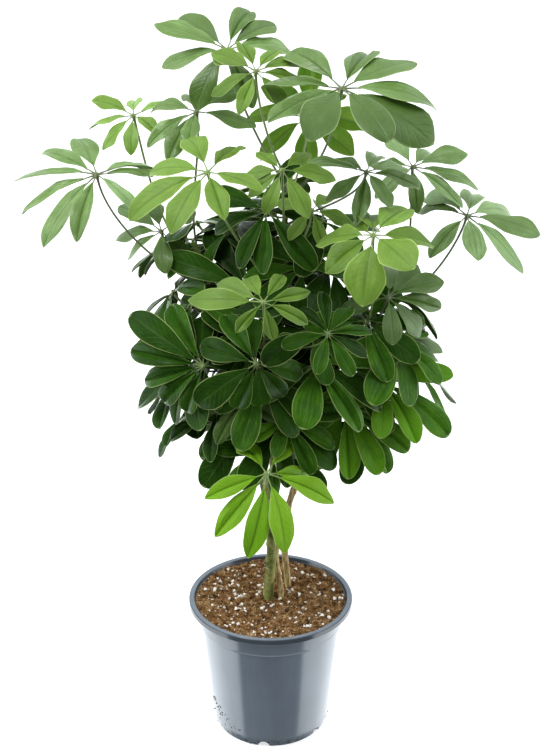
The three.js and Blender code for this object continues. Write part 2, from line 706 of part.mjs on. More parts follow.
// A leaflet's room: its stalk, then both halves of its blade from station to station and to the tip.
function leafletRoom(leaf, leaflet) {
  const [root, ...blade] = leafletEdges(leaf, leaflet);
  const tip = midrib(leaf, leaflet, 1).point;
  const pieces = [piece(root[1], blade[0][1], blade[0][1], BLADE_ROOM)];
  for (let k = 0; k < blade.length; k++) {
    const [left, keel, right] = blade[k];
    const [nextLeft, nextKeel, nextRight] = blade[k + 1] ?? [tip, tip, tip];
    pieces.push(piece(left, keel, nextKeel, BLADE_ROOM), piece(left, nextKeel, nextLeft, BLADE_ROOM));
    pieces.push(piece(right, keel, nextKeel, BLADE_ROOM), piece(right, nextKeel, nextRight, BLADE_ROOM));
  }
  return bundle(pieces);
}

function lineRoom(points, radii) {
  const pieces = [];
  for (let k = 0; k + 1 < points.length; k++) {
    pieces.push(piece(points[k], points[k + 1], points[k + 1], Math.max(radii[k], radii[k + 1])));
  }
  return bundle(pieces);
}

function petioleRoom(leaf) {
  const curve = petioleCurve(leaf);
  const points = [];
  for (let k = 0; k < PETIOLE_STEPS; k++) points.push(curve.getPoint(k / PETIOLE_STEPS));
  const hub = new Vector3(...leaf.hub);
  points.push(hub.clone().addScaledVector(leafFrame(leaf.faces).axis, -KNOB_DEPTH), hub);
  const radii = points.map((_, k) => (k === 0 ? PETIOLE_FOOT_RADIUS : PETIOLE_RADIUS));
  const room = lineRoom(points, radii);
  room.pieces.push(piece(hub, hub, hub, KNOB_RADIUS));
  return room;
}

function stemRoom(stem) {
  const curve = stemCurve(stem);
  const points = [];
  const radii = [];
  for (let k = 0; k <= stem.rings; k++) {
    points.push(curve.getPoint(k / stem.rings));
    radii.push(stemRadius(stem, k / stem.rings));
  }
  return lineRoom(points, radii);
}

// Whether two bundles keep the gap between all their pieces.
function clearOf(one, other, gap) {
  if (one.centre.distanceTo(other.centre) > one.extent + other.extent + gap) return true;
  for (const a of one.pieces) {
    if (a.centre.distanceTo(other.centre) > a.extent + other.extent + gap) continue;
    for (const b of other.pieces) {
      if (a.centre.distanceTo(b.centre) > a.extent + b.extent + gap) continue;
      if (distance(a.corners, b.corners) < a.radius + b.radius + gap) return false;
    }
  }
  return true;
}

// The least distance between two triangles: 0 where they cross, or from a corner or edge to the other.
function distance(one, other) {
  let least = Infinity;
  for (let i = 0; i < 3; i++) {
    const a = one[i];
    const b = one[(i + 1) % 3];
    for (let j = 0; j < 3; j++) {
      least = Math.min(least, edgeDistance(a, b, other[j], other[(j + 1) % 3]));
    }
  }
  for (const corner of one) least = Math.min(least, cornerDistance(corner, other));
  for (const corner of other) least = Math.min(least, cornerDistance(corner, one));
  for (let i = 0; i < 3 && least > 0; i++) {
    if (pierces(one[i], one[(i + 1) % 3], other) || pierces(other[i], other[(i + 1) % 3], one)) least = 0;
  }
  return least;
}

const nearest = new Vector3();
const flat = new THREE.Triangle();

function cornerDistance(corner, triangle) {
  flat.set(...triangle);
  flat.closestPointToPoint(corner, nearest);
  return nearest.distanceTo(corner);
}

function pierces(from, to, triangle) {
  const way = to.clone().sub(from);
  const length = way.length();
  if (length < TINY) return false;
  const hit = new THREE.Ray(from, way.divideScalar(length)).intersectTriangle(...triangle, false, nearest);
  return hit !== null && hit.distanceTo(from) <= length;
}

// The least distance between two straight edges.
function edgeDistance(a, b, c, d) {
  const u = b.clone().sub(a);
  const v = d.clone().sub(c);
  const w = a.clone().sub(c);
  const uu = u.dot(u);
  const vv = v.dot(v);
  const uv = u.dot(v);
  const uw = u.dot(w);
  const vw = v.dot(w);
  const under = uu * vv - uv * uv;
  let s = under > TINY ? THREE.MathUtils.clamp((uv * vw - vv * uw) / under, 0, 1) : 0;
  let t = vv > TINY ? (uv * s + vw) / vv : 0;
  t = THREE.MathUtils.clamp(t, 0, 1);
  s = uu > TINY ? THREE.MathUtils.clamp((uv * t - uw) / uu, 0, 1) : 0;
  return a.clone().addScaledVector(u, s).distanceTo(c.clone().addScaledVector(v, t));
}

// Settles every stalk and then every leaflet: each takes the first bend that keeps it clear.
function settle(drafts) {
  const taken = Object.values(STEMS).map((stem) => ({ owner: stem, room: stemRoom(stem) }));
  taken.push({ owner: "pot", room: potRoom() });
  const leaves = drafts.map((draft) => settleStalk(draft, taken));
  for (const leaf of leaves) {
    leaf.kept = [];
    for (const [turn, length, droop] of leaf.leaflets) {
      const leaflet = LEAFLET_BENDS.map((bend) => ({
        turn: turn + bend.swing,
        length: length * bend.length,
        droop: droop + bend.droop,
      })).find((tried) => fits(leaf, leafletRoom(leaf, tried), taken));
      if (leaflet === undefined) continue;
      leaf.kept.push(leaflet);
      taken.push({ owner: leaf, room: leafletRoom(leaf, leaflet) });
    }
  }
  return leaves;
}

function settleStalk(draft, taken) {
  const stands = draft.hub ? [draft] : RUN_SWINGS.map((degrees) => swung(draft, degrees));
  const ways = stands.flatMap((leaf) => PETIOLE_BOWS.map((bow) => ({ ...leaf, bow })));
  const leaf = ways.find((way) => stalkFits(way, petioleRoom(way), taken)) ?? ways[0];
  taken.push({ owner: leaf, room: petioleRoom(leaf) });
  return leaf;
}

// A stalk's first stretch stands at the bark of its own stem, and the rest keeps clear of that stem too.
function stalkFits(leaf, room, taken) {
  const beyond = { ...room, pieces: room.pieces.slice(1) };
  const own = STEMS[leaf.stem];
  return taken.every(({ owner, room: other }) =>
    clearOf(owner === own ? beyond : room, other, PETIOLE_GAP),
  );
}

function fits(leaf, room, taken) {
  return taken.every(({ owner, room: other }) =>
    owner === leaf ? clearOfSibling(room, other) : clearOf(room, other, LEAFLET_GAP),
  );
}

// Leaflets of one leaf meet at the knob, so only their blades past the first station keep from crossing.
function clearOfSibling(room, other) {
  return clearOf(outerBlade(room), outerBlade(other), SIBLING_GAP);
}

function outerBlade(room) {
  return { ...room, pieces: room.pieces.slice(5) };
}

function potRoom() {
  const rim = circle(POT_SIDES).map(([c, s]) => new Vector3(RIM_RADIUS * c, RIM_RADIUS * s, POT_HEIGHT));
  return lineRoom([...rim, rim[0]], Array(rim.length + 1).fill(RIM_ROOM));
}

const plant = new THREE.Group();

function addPiece(name, solid, colour) {
  const mesh = new THREE.Mesh(geometryOf(solid), new THREE.MeshStandardMaterial(COLOURS[colour]));
  mesh.name = name;
  plant.add(mesh);
}

addPiece("pot", makePot(), "pot");
addPiece("potting_mix", makeMix(), "mix");
for (const stem of Object.values(STEMS)) addPiece(stem.node, makeStem(stem), "bark");

const leaves = settle([
  ...PLACED.map((leaf) => ({ wide: 1, outline: BLADE_OUTLINE, ...leaf })),
  ...runLeaves().map((leaf) => ({ wide: RUN_WIDTH, outline: RUN_OUTLINE, ...leaf })),
]);
leaves.forEach((leaf, i) => {
  const solids = [makePetiole(leaf), ...leaf.kept.map((leaflet) => makeLeaflet(leaf, leaflet))];
  addPiece(`leaf_${String(i + 1).padStart(2, "0")}`, join(solids), leaf.age);
});

export default plant;
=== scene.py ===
import random
from math import atan2, cos, dist, exp, hypot, pi, radians, sin, sqrt

import bpy
from mathutils import Matrix, Vector, kdtree
from mathutils.bvhtree import BVHTree


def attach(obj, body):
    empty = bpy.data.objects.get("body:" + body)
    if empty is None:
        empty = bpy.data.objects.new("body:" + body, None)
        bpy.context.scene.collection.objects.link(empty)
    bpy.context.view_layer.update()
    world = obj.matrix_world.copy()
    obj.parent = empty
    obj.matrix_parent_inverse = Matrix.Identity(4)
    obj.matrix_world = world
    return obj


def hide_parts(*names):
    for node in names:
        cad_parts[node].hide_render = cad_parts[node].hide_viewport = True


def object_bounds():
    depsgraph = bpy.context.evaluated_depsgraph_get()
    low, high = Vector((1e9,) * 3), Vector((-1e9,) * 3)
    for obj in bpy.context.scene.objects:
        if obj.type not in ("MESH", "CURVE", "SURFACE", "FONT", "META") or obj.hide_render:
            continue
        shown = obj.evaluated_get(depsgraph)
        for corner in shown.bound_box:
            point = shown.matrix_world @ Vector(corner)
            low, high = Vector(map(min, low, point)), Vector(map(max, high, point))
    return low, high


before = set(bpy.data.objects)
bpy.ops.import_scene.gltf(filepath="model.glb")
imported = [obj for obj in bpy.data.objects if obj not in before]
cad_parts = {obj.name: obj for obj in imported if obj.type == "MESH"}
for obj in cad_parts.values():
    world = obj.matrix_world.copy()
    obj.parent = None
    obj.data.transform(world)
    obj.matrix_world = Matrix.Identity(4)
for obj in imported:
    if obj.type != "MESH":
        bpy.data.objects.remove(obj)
solid_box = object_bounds()
bpy.ops.object.select_all(action="DESELECT")


# Pot. One injection moulding in blue-grey polypropylene: a thin tapered wall, a collar that
# stiffens its top, a rim turned outwards and down, and six arches in the foot that let water out.
MM = 0.001
POT_SIDES = 168
POT_FLAT = (59.4, 8.8)
POT_WALLS = [
    (60.0, 0.0), (64.6, 0.0), (66.9, 3.0), (69.3, 12.0), (69.5, 14.0), (81.5, 133.6), (81.7, 135.6),
    (83.0, 136.2), (83.5, 137.0), (83.1, 138.2), (83.2, 139.2), (85.7, 158.4), (85.8, 159.4),
    (86.2, 162.4), (92.4, 162.4), (93.2, 160.0), (94.7, 159.4), (95.5, 160.0), (95.2, 161.6),
    (95.1, 165.0), (94.2, 166.0), (89.2, 166.0), (87.9, 162.6), (84.4, 159.4), (81.8, 147.0),
    (65.0, 12.0), (64.6, 10.0),
]
POT_EDGE = 0.45
POT_EDGE_ANGLE = 25
ARCHES = 6
ARCH_BEARING = -97
ARCH_RADIUS = 64
ARCH_SIZE = (13.5, 8.2, 14)
ARCH_SIDES = 28
PLASTIC = "77828d"
PLASTIC_DEEP = "6e7883"
PAINTED_LIP_SHADE = "30373e"
PAINTED_INNER_SHADOW = "2b3238"
PAINTED_RIDGE_HIGHLIGHT = "aab2b8"
WATER_FILM = "8d8a80"
SOIL_STAIN = "241d17"


def tint(hex_colour):
    """The linear colour of a hexadecimal one."""
    parts = [int(hex_colour[k : k + 2], 16) / 255 for k in (0, 2, 4)]
    return tuple(p / 12.92 if p <= 0.04045 else ((p + 0.055) / 1.055) ** 2.4 for p in parts)


def paired(operation):
    """A Math node as an operator, and the same with its two sides swapped."""
    return (
        lambda this, other: this.reckon(operation, this, other),
        lambda this, other: this.reckon(operation, other, this),
    )


class Value:
    """A socket of a material. Arithmetic on it adds the Math nodes."""

    def __init__(self, socket):
        self.socket = socket

    def reckon(self, operation, *terms):
        node = self.socket.id_data.nodes.new("ShaderNodeMath")
        node.operation = operation
        for slot, term in zip(node.inputs, terms):
            feed(slot, term)
        return Value(node.outputs[0])

    __add__, __radd__ = paired("ADD")
    __sub__, __rsub__ = paired("SUBTRACT")
    __mul__, __rmul__ = paired("MULTIPLY")
    __truediv__, __pow__ = paired("DIVIDE")[0], paired("POWER")[0]

    def __abs__(self):
        return self.reckon("ABSOLUTE", self)

    def fraction(self):
        return self.reckon("FRACT", self)

    def higher(self, other):
        return self.reckon("MAXIMUM", self, other)


def feed(socket, value):
    """Links a value to a socket, or sets the socket to a number, a vector or a colour."""
    if isinstance(value, Value):
        socket.id_data.links.new(value.socket, socket)
    elif socket.type == "RGBA":
        socket.default_value = (*(tint(value) if isinstance(value, str) else value), 1)
    else:
        socket.default_value = value


class Nodes:
    """The nodes of a material or of the studio's light."""

    def __init__(self, tree):
        self.tree = tree

    def node(self, kind, settings, sockets, output=0):
        node = self.tree.nodes.new("ShaderNode" + kind)
        for name, value in settings.items():
            if name == "stops":
                set_stops(node.color_ramp, value)
            else:
                setattr(node, name, value)
        for key, value in sockets.items():
            feed(node.inputs[key], value)
        return Value(node.outputs[output])

    def part(self, vector, axis):
        """One coordinate of a vector."""
        return self.node("SeparateXYZ", {}, {"Vector": vector}, axis)

    def step(self, value, low, high):
        """A soft step: 0 where the value is below low, 1 above high."""
        sockets = {"Value": value, "From Min": low, "From Max": high}
        return self.node("MapRange", {"interpolation_type": "SMOOTHSTEP"}, sockets)

    def blend(self, share, first, second):
        """A number between two, by a share from 0 to 1."""
        return self.node("Mix", {"data_type": "FLOAT"}, {0: share, 2: first, 3: second})

    def mix(self, share, first, second):
        """A colour between two, by a share from 0 to 1."""
        return self.node("Mix", {"data_type": "RGBA"}, {0: share, 6: first, 7: second}, 2)


class Finish(Nodes):
    """A procedural material, with its Principled surface and object coordinates as the start."""

    def __init__(self, name, constants):
        self.material = bpy.data.materials.new(name)
        self.material.use_nodes = True
        super().__init__(self.material.node_tree)
        self.surface = self.tree.nodes["Principled BSDF"]
        for socket, value in constants.items():
            feed(self.surface.inputs[socket], value)
        self.where = self.node("TexCoord", {}, {}, "Object")

    def noise(self, scale, detail=2.0, roughness=0.5, stretch=None):
        """Noise from about 0.2 to 0.8 with its blotches 1 / scale metres apart."""
        where = self.where
        if stretch:
            where = self.node("Mapping", {}, {"Vector": where, "Scale": stretch})
        sockets = {"Vector": where, "Scale": scale, "Detail": detail, "Roughness": roughness}
        return self.node("TexNoise", {}, sockets)

    def show(self, colour, roughness, relief, strength, distance):
        """Links what varies over the surface: colour, roughness, and the relief as a bump."""
        bumps = {"Height": relief, "Strength": strength, "Distance": distance}
        feed(self.surface.inputs["Base Color"], colour)
        feed(self.surface.inputs["Roughness"], roughness)
        feed(self.surface.inputs["Normal"], self.node("Bump", {}, bumps))
        return self.material


def set_stops(ramp, stops):
    while len(ramp.elements) < len(stops):
        ramp.elements.new(1)
    for element, (place, colour) in zip(ramp.elements, stops):
        element.position = place
        element.color = (*tint(colour), 1)


def select_only(*objects):
    bpy.ops.object.select_all(action="DESELECT")
    for one in objects:
        one.select_set(True)
        bpy.context.view_layer.objects.active = objects[0]


def joined(*objects):
    """The objects as one, which is the first of them."""
    select_only(*objects)
    bpy.ops.object.join()
    return objects[0]


def set_mode(mode):
    bpy.ops.object.mode_set(mode=mode)


def start_disc(name, radius, height, sides):
    """A filled disc, left in edit mode with its face selected."""
    select_only()
    bpy.ops.mesh.primitive_circle_add(
        vertices=sides, radius=radius * MM, fill_type="NGON", location=(0, 0, height * MM)
    )
    disc = bpy.context.object
    disc.name = name
    bpy.ops.object.transform_apply(location=True)
    set_mode("EDIT")
    bpy.ops.mesh.select_all(action="SELECT")
    return disc


def raise_walls(start, walls):
    """Extrudes the selected disc from (radius, height) to each next one."""
    radius, height = start
    for next_radius, next_height in walls:
        move = (0, 0, (next_height - height) * MM)
        bpy.ops.mesh.extrude_region_move(TRANSFORM_OT_translate={"value": move})
        widen = next_radius / radius
        centre = (0, 0, next_height * MM)
        bpy.ops.transform.resize(value=(widen, widen, 1), center_override=centre)
        radius, height = next_radius, next_height


def face_outwards():
    """Ends edit mode with every face turned outwards."""
    bpy.ops.mesh.select_all(action="SELECT")
    bpy.ops.mesh.normals_make_consistent(inside=False)
    set_mode("OBJECT")


def apply_modifier(piece, kind, **settings):
    select_only(piece)
    modifier = piece.modifiers.new(kind.lower(), kind)
    for name, value in settings.items():
        setattr(modifier, name, value)
    bpy.ops.object.modifier_apply(modifier=modifier.name)


def smooth(piece, degrees):
    """Smooth shading, broken where two faces meet at a sharper angle."""
    select_only(piece)
    bpy.ops.object.shade_smooth_by_angle(angle=radians(degrees))


pot = start_disc("nursery_pot", *POT_FLAT, POT_SIDES)
raise_walls(POT_FLAT, POT_WALLS)
face_outwards()
rounding = {"width": POT_EDGE * MM, "segments": 3, "angle_limit": radians(POT_EDGE_ANGLE)}
apply_modifier(pot, "BEVEL", limit_method="ANGLE", **rounding)

width, rise, depth = ARCH_SIZE
arches = []
for k in range(ARCHES):
    bearing = radians(ARCH_BEARING + 360 / ARCHES * k)
    select_only()
    bpy.ops.mesh.primitive_cylinder_add(
        vertices=ARCH_SIDES,
        radius=width / 2 * MM,
        depth=depth * MM,
        location=(ARCH_RADIUS * MM * cos(bearing), ARCH_RADIUS * MM * sin(bearing), 0),
        rotation=(0, pi / 2, bearing),
        scale=(2 * rise / width, 1, 1),
    )
    arches.append(bpy.context.object)
arch_cutter = joined(*arches)
apply_modifier(pot, "BOOLEAN", operation="DIFFERENCE", solver="EXACT", object=arch_cutter)
bpy.data.objects.remove(arch_cutter)
smooth(pot, degrees=32)

plastic = Finish("moulded_plastic", {"IOR": 1.5, "Specular IOR Level": 0.58})
x, y, height = (plastic.part(plastic.where, axis) for axis in "XYZ")
from_axis = (x * x + y * y) ** 0.5
flow = plastic.noise(60, 3, stretch=(1, 1, 0.12))
cloud = plastic.noise(18, 4)
# Painted highlights: lighter bands round the collar's step and round the rim's lower edge.
ridge_highlights = plastic.step(height, 0.1358, 0.1366) * (1 - plastic.step(height, 0.1374, 0.1384))
ridge_highlights += plastic.step(height, 0.1588, 0.1592) * (1 - plastic.step(height, 0.16, 0.1605))
# Painted shade: the rim's outer face is darkened all round.
lip_shade = plastic.step(from_axis, 0.0936, 0.0946) * plastic.step(height, 0.16, 0.1606)
# Painted shadow: the rim's inner wall above the mix is darkened all round.
inside = (1 - plastic.step(from_axis, 0.0886, 0.0894)) * plastic.step(height, 0.157, 0.159)
low = 1 - plastic.step(height, 0.004, 0.018)
grime = plastic.step(plastic.noise(300, 2, 0.6), 0.57, 0.61) * low
film = plastic.step(0.03 - height, 0.0, 0.026) * plastic.step(cloud, 0.4, 0.65)
body = plastic.mix(plastic.step(flow * 0.5 + cloud * 0.5, 0.35, 0.65), PLASTIC, PLASTIC_DEEP)
# Here the painted shade, painted shadow and painted highlights go into the plastic's colour.
body = plastic.mix(lip_shade * 0.85, body, PAINTED_LIP_SHADE)
body = plastic.mix(inside * 0.8, body, PAINTED_INNER_SHADOW)
body = plastic.mix(ridge_highlights * 0.6, body, PAINTED_RIDGE_HIGHLIGHT)
body = plastic.mix(film * 0.15, body, WATER_FILM)
body = plastic.mix(grime * 0.95, body, SOIL_STAIN)
sheen = 0.13 + cloud * 0.08 + grime * 0.4 + film * 0.1
pot.data.materials.append(plastic.show(body, sheen, cloud, 0.1, 0.0006))
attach(pot, "root")
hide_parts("pot")


# Potting mix. Coarse brown peat with white perlite, filled to just under the rim and left loose.
# Its body is one solid in the pot, and crumbs, fibres and perlite grains lie on its top.
dice = random.Random(41)
vary = dice.uniform
MIX_SIDES = 240
MIX_FLAT = (64.2, 10.4)
MIX_WALLS = [(64.65, 12), (81.45, 147), (84.0, 159.2), (87.4, 162.3)]
MIX_TOP = 162.8
MIX_DISH = 4.5
MIX_CAP_RINGS = 60
MIX_EDGE = 0.5
MIX_LUMPS = [("CLOUDS", 16, 4.4), ("CLOUDS", 6, 4.2), ("VORONOI", 4.5, 3.2)]
MIX_REACH = 87
ABOVE_MIX = 180
STEM_FEET = [(-3, 6, 6.8), (12, 7, 4.9), (20, 32, 5.2)]
CRUMBS = 1700
CRUMB_RADII = (0.7, 3.7)
FIBRES = 500
FIBRE_LENGTHS = (2, 7)
FIBRE_RADII = (0.22, 0.4)
PERLITE_GRAINS = 430
PERLITE_RADII = (0.45, 2.7)
CLUSTERED = 0.25
CLUSTER = 4
CLUSTER_EDGE = 5
GRAIN_LEAN = 0.5
BARK_CHIPS = "82502b"

mix = start_disc("peat_body", *MIX_FLAT, MIX_SIDES)
raise_walls(MIX_FLAT, MIX_WALLS)
last_radius, last_height = MIX_WALLS[-1]
cap = []
for k in range(1, MIX_CAP_RINGS + 1):
    share = 1 - k / (MIX_CAP_RINGS + 1)
    cap.append((last_radius * share, MIX_TOP - MIX_DISH * (1 - share**2)))
raise_walls(MIX_WALLS[-1], cap)
bpy.ops.mesh.merge(type="CENTER")
face_outwards()
top = mix.vertex_groups.new(name="top")
crest, rim = (last_height - MIX_DISH) * MM, (last_radius - MIX_EDGE) * MM
loose = [v.index for v in mix.data.vertices if v.co.z > crest and v.co.xy.length < rim]
top.add(loose, 1, "REPLACE")
for kind, size, strength in MIX_LUMPS:
    lumps = bpy.data.textures.new("peat_lumps", kind)
    lumps.noise_scale = size * MM
    relief = {"texture": lumps, "strength": strength * MM, "mid_level": 0.5, "direction": "Z"}
    apply_modifier(mix, "DISPLACE", texture_coords="LOCAL", vertex_group="top", **relief)
smooth(mix, degrees=60)


def spot_on_mix(reach, clearance, beside=None):
    """A random place on the mix's top, outside the stems, with the way its surface faces."""
    while True:
        bearing = vary(0, 2 * pi)
        away = reach * sqrt(dice.random())
        x, y = away * cos(bearing), away * sin(bearing)
        if beside and beside.xy.length < (reach - CLUSTER_EDGE) * MM:
            x, y = (axis / MM + vary(-CLUSTER, CLUSTER) for axis in beside.xy)
        if any(hypot(x - sx, y - sy) < sr + clearance for sx, sy, sr in STEM_FEET):
            continue
        found, place, facing, _ = mix.ray_cast(Vector((x, y, ABOVE_MIX)) * MM, Vector((0, 0, -1)))
        if found:
            return place, facing


def new_object(name, data):
    thing = bpy.data.objects.new(name, data)
    bpy.context.collection.objects.link(thing)
    return thing


def scatter(name, roughen, stands):
    """Pebbles of 20 faces, their corners pushed in and out, one at each stand and all one piece."""
    select_only()
    bpy.ops.mesh.primitive_ico_sphere_add(subdivisions=1, radius=MM)
    pebble = bpy.context.object
    set_mode("EDIT")
    bpy.ops.transform.vertex_random(offset=roughen * MM, seed=3)
    set_mode("OBJECT")
    copies = [new_object(name, pebble.data.copy()) for _ in stands]
    for copy, stand in zip(copies, stands):
        copy.data.transform(stand)
    bpy.data.objects.remove(pebble)
    grains = joined(*copies)
    smooth(grains, degrees=40)
    return grains


def turned(place, facing, sizes, sink):
    """A grain's stand: any turn, squashed to sizes and sunk in by a share of its height."""
    spin = Matrix.Rotation(vary(0, 2 * pi), 4, "Z")
    lean = Matrix.Rotation(vary(-GRAIN_LEAN, GRAIN_LEAN), 4, "X")
    upright = facing.to_track_quat("Z", "Y").to_matrix().to_4x4()
    shift = Matrix.Translation(place + facing * sizes[2] * (1 - 2 * sink) * MM)
    return shift @ upright @ lean @ spin @ Matrix.Diagonal((*sizes, 1))


def sized(low, high, skew):
    """A random size, nearer to low the greater the skew."""
    return low + (high - low) * dice.random() ** skew


crumb_stands = []
for _ in range(CRUMBS):
    radius = sized(*CRUMB_RADII, skew=2.0)
    place, facing = spot_on_mix(MIX_REACH - radius, clearance=0.5)
    sizes = (radius, radius * vary(0.6, 1), radius * vary(0.5, 0.85))
    crumb_stands.append(turned(place, facing, sizes, sink=0.5))
crumbs = scatter("peat_crumbs", 0.45, crumb_stands)

fibre_stands = []
for _ in range(FIBRES):
    length = sized(*FIBRE_LENGTHS, skew=1.8)
    place, facing = spot_on_mix(MIX_REACH - length, clearance=2)
    sizes = (length, vary(*FIBRE_RADII), vary(*FIBRE_RADII))
    fibre_stands.append(turned(place, facing, sizes, sink=-1.5))
fibres = scatter("peat_fibres", 0.3, fibre_stands)

perlite_stands = []
for _ in range(PERLITE_GRAINS):
    radius = sized(*PERLITE_RADII, skew=2.6)
    beside = place if dice.random() < CLUSTERED else None
    place, facing = spot_on_mix(MIX_REACH - 1 - radius, 1, beside)
    sizes = (radius, radius * vary(0.7, 1), radius * vary(0.6, 0.95))
    perlite_stands.append(turned(place, facing, sizes, sink=0.12))
perlite = scatter("perlite_grains", 0.75, perlite_stands)

peat = Finish("peat", {"Specular IOR Level": 0.25})
clump = peat.noise(130, 6, 0.65)
speckle = peat.noise(620, 4, 0.7)
strand = peat.noise(800, 3, 0.6, stretch=(1, 0.25, 1))
browns = [(0.4, "0f0903"), (0.46, "452f14"), (0.515, "866237"), (0.61, "c4a678")]
shade = clump * 0.42 + speckle * 0.38 + strand * 0.2
brown = peat.node("ValToRGB", {"stops": browns}, {0: shade})
brown = peat.mix(peat.step(peat.noise(190, 3), 0.52, 0.6) * 0.4, brown, BARK_CHIPS)
peat.show(brown, 0.8 + speckle * 0.2, speckle * 0.6 + strand * 0.4, 1.0, 0.0014)
for piece in (mix, crumbs):
    piece.data.materials.append(peat.material)

fibre = Finish("peat_fibre", {"Specular IOR Level": 0.2})
straw = fibre.noise(240, 3)
straws = fibre.mix(fibre.step(straw, 0.35, 0.65), "6b4526", "b98a57")
fibre.show(straws, 0.75 + straw * 0.2, fibre.noise(1500, 2), 0.5, 0.0004)
fibres.data.materials.append(fibre.material)

expanded = Finish("perlite", {"Specular IOR Level": 0.3})
pores = expanded.noise(1600, 3, 0.7)
white = expanded.mix(expanded.step(expanded.noise(150, 3), 0.5, 0.8), "fffaf0", "d6c19c")
expanded.show(white, 0.75 + pores * 0.25, pores, 0.7, 0.0006)
perlite.data.materials.append(expanded.material)
for piece in (mix, crumbs, fibres, perlite):
    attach(piece, "root")
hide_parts("potting_mix")


# Stems. Three woody shoots rooted together in the mix: green-brown bark, tan and corky towards the
# foot, ringed where old leaves fell, and each ending in a soft pointed bud.
STEMS = {
    "main": {
        "path": [(-3, 6, 98), (-3, 6, 160), (0, 3, 205), (0, 0, 256), (-6, -4, 305),
            (-12, -4, 360), (-14, -2, 410), (-5, 0, 500), (12, 0, 600), (22, 0, 680)],
        "foot": 6.8, "tip": 2.8, "sides": 8, "rings": 18, "cork": -0.2, "girth": 6.0,
    },
    "left": {
        "path": [(12, 7, 98), (12, 7, 160), (6.5, 14.5, 205), (8, 18, 256), (5, 17, 305),
            (-6, 16, 380), (-22, 14, 440), (-50, 12, 520), (-80, 6, 594)],
        "foot": 4.9, "tip": 2.6, "sides": 6, "rings": 15, "cork": 0.75, "girth": 3.7,
    },
    "right": {
        "path": [(20, 32, 98), (20, 32, 160), (17, 29, 205), (18, 24, 255), (36, 18, 330),
            (62, 14, 420), (96, 6, 500), (128, 2, 548)],
        "foot": 5.2, "tip": 2.6, "sides": 6, "rings": 14, "cork": 0.55, "girth": 3.9,
    },
}
STEM_WAIST = 0.96
STEM_STEP = 3.2
NUDGE = 0.0001
STEM_SWAY = 0.35
SWAY_BEATS = (0.09, 0.07)
BARK_SLIM = 0.97
LOWEST_SCAR = 165
SCAR_SPACING = (15, 26)
SCAR_STRENGTH = (0.5, 1.2)
SCAR_SWELL = 0.16
SCAR_REACH = 2.2
GNARL_SIZE = 7
GNARL_DEPTH = 0.9
BUD = ((2, 1.12), (4, 1.0), (6, 0.62), (7.5, 0.3), (8, 0.08))


def curve_point(path, share):
    """A point of the smooth curve through the path: a centripetal Catmull-Rom spline."""
    last = len(path) - 1
    span = min(int(share * last), last - 1)
    t = share * last - span
    p1, p2 = Vector(path[span]), Vector(path[span + 1])
    p0 = Vector(path[span - 1]) if span > 0 else 2 * p1 - p2
    p3 = Vector(path[span + 2]) if span + 2 <= last else 2 * p2 - p1
    d0, d1, d2 = (sqrt((b - a).length) for a, b in ((p0, p1), (p1, p2), (p2, p3)))
    way_in = ((p1 - p0) / d0 - (p2 - p0) / (d0 + d1) + (p2 - p1) / d1) * d1
    way_out = ((p2 - p1) / d1 - (p3 - p1) / (d1 + d2) + (p3 - p2) / d2) * d1
    square = 3 * (p2 - p1) - 2 * way_in - way_out
    cube = 2 * (p1 - p2) + way_in + way_out
    return p1 + way_in * t + square * t * t + cube * t**3


def curve_way(point_at, line, share):
    """The direction of a curve at a share of its length."""
    before, after = max(0, share - NUDGE), min(1, share + NUDGE)
    return (point_at(line, after) - point_at(line, before)).normalized()


def tubes(name, splines, resolution):
    """Round tubes along lists of (point, radius), in millimetres, as one closed mesh."""
    curve = bpy.data.curves.new(name, "CURVE")
    curve.dimensions = "3D"
    curve.bevel_depth = MM
    curve.bevel_resolution = resolution
    curve.use_fill_caps = True
    for points in splines:
        spline = curve.splines.new("POLY")
        spline.points.add(len(points) - 1)
        for knot, (place, radius) in zip(spline.points, points):
            knot.co = (*(Vector(place) * MM), 1)
            knot.radius = radius
        spline.use_smooth = True
    tube = new_object(name, curve)
    select_only(tube)
    bpy.ops.object.convert(target="MESH")
    return tube


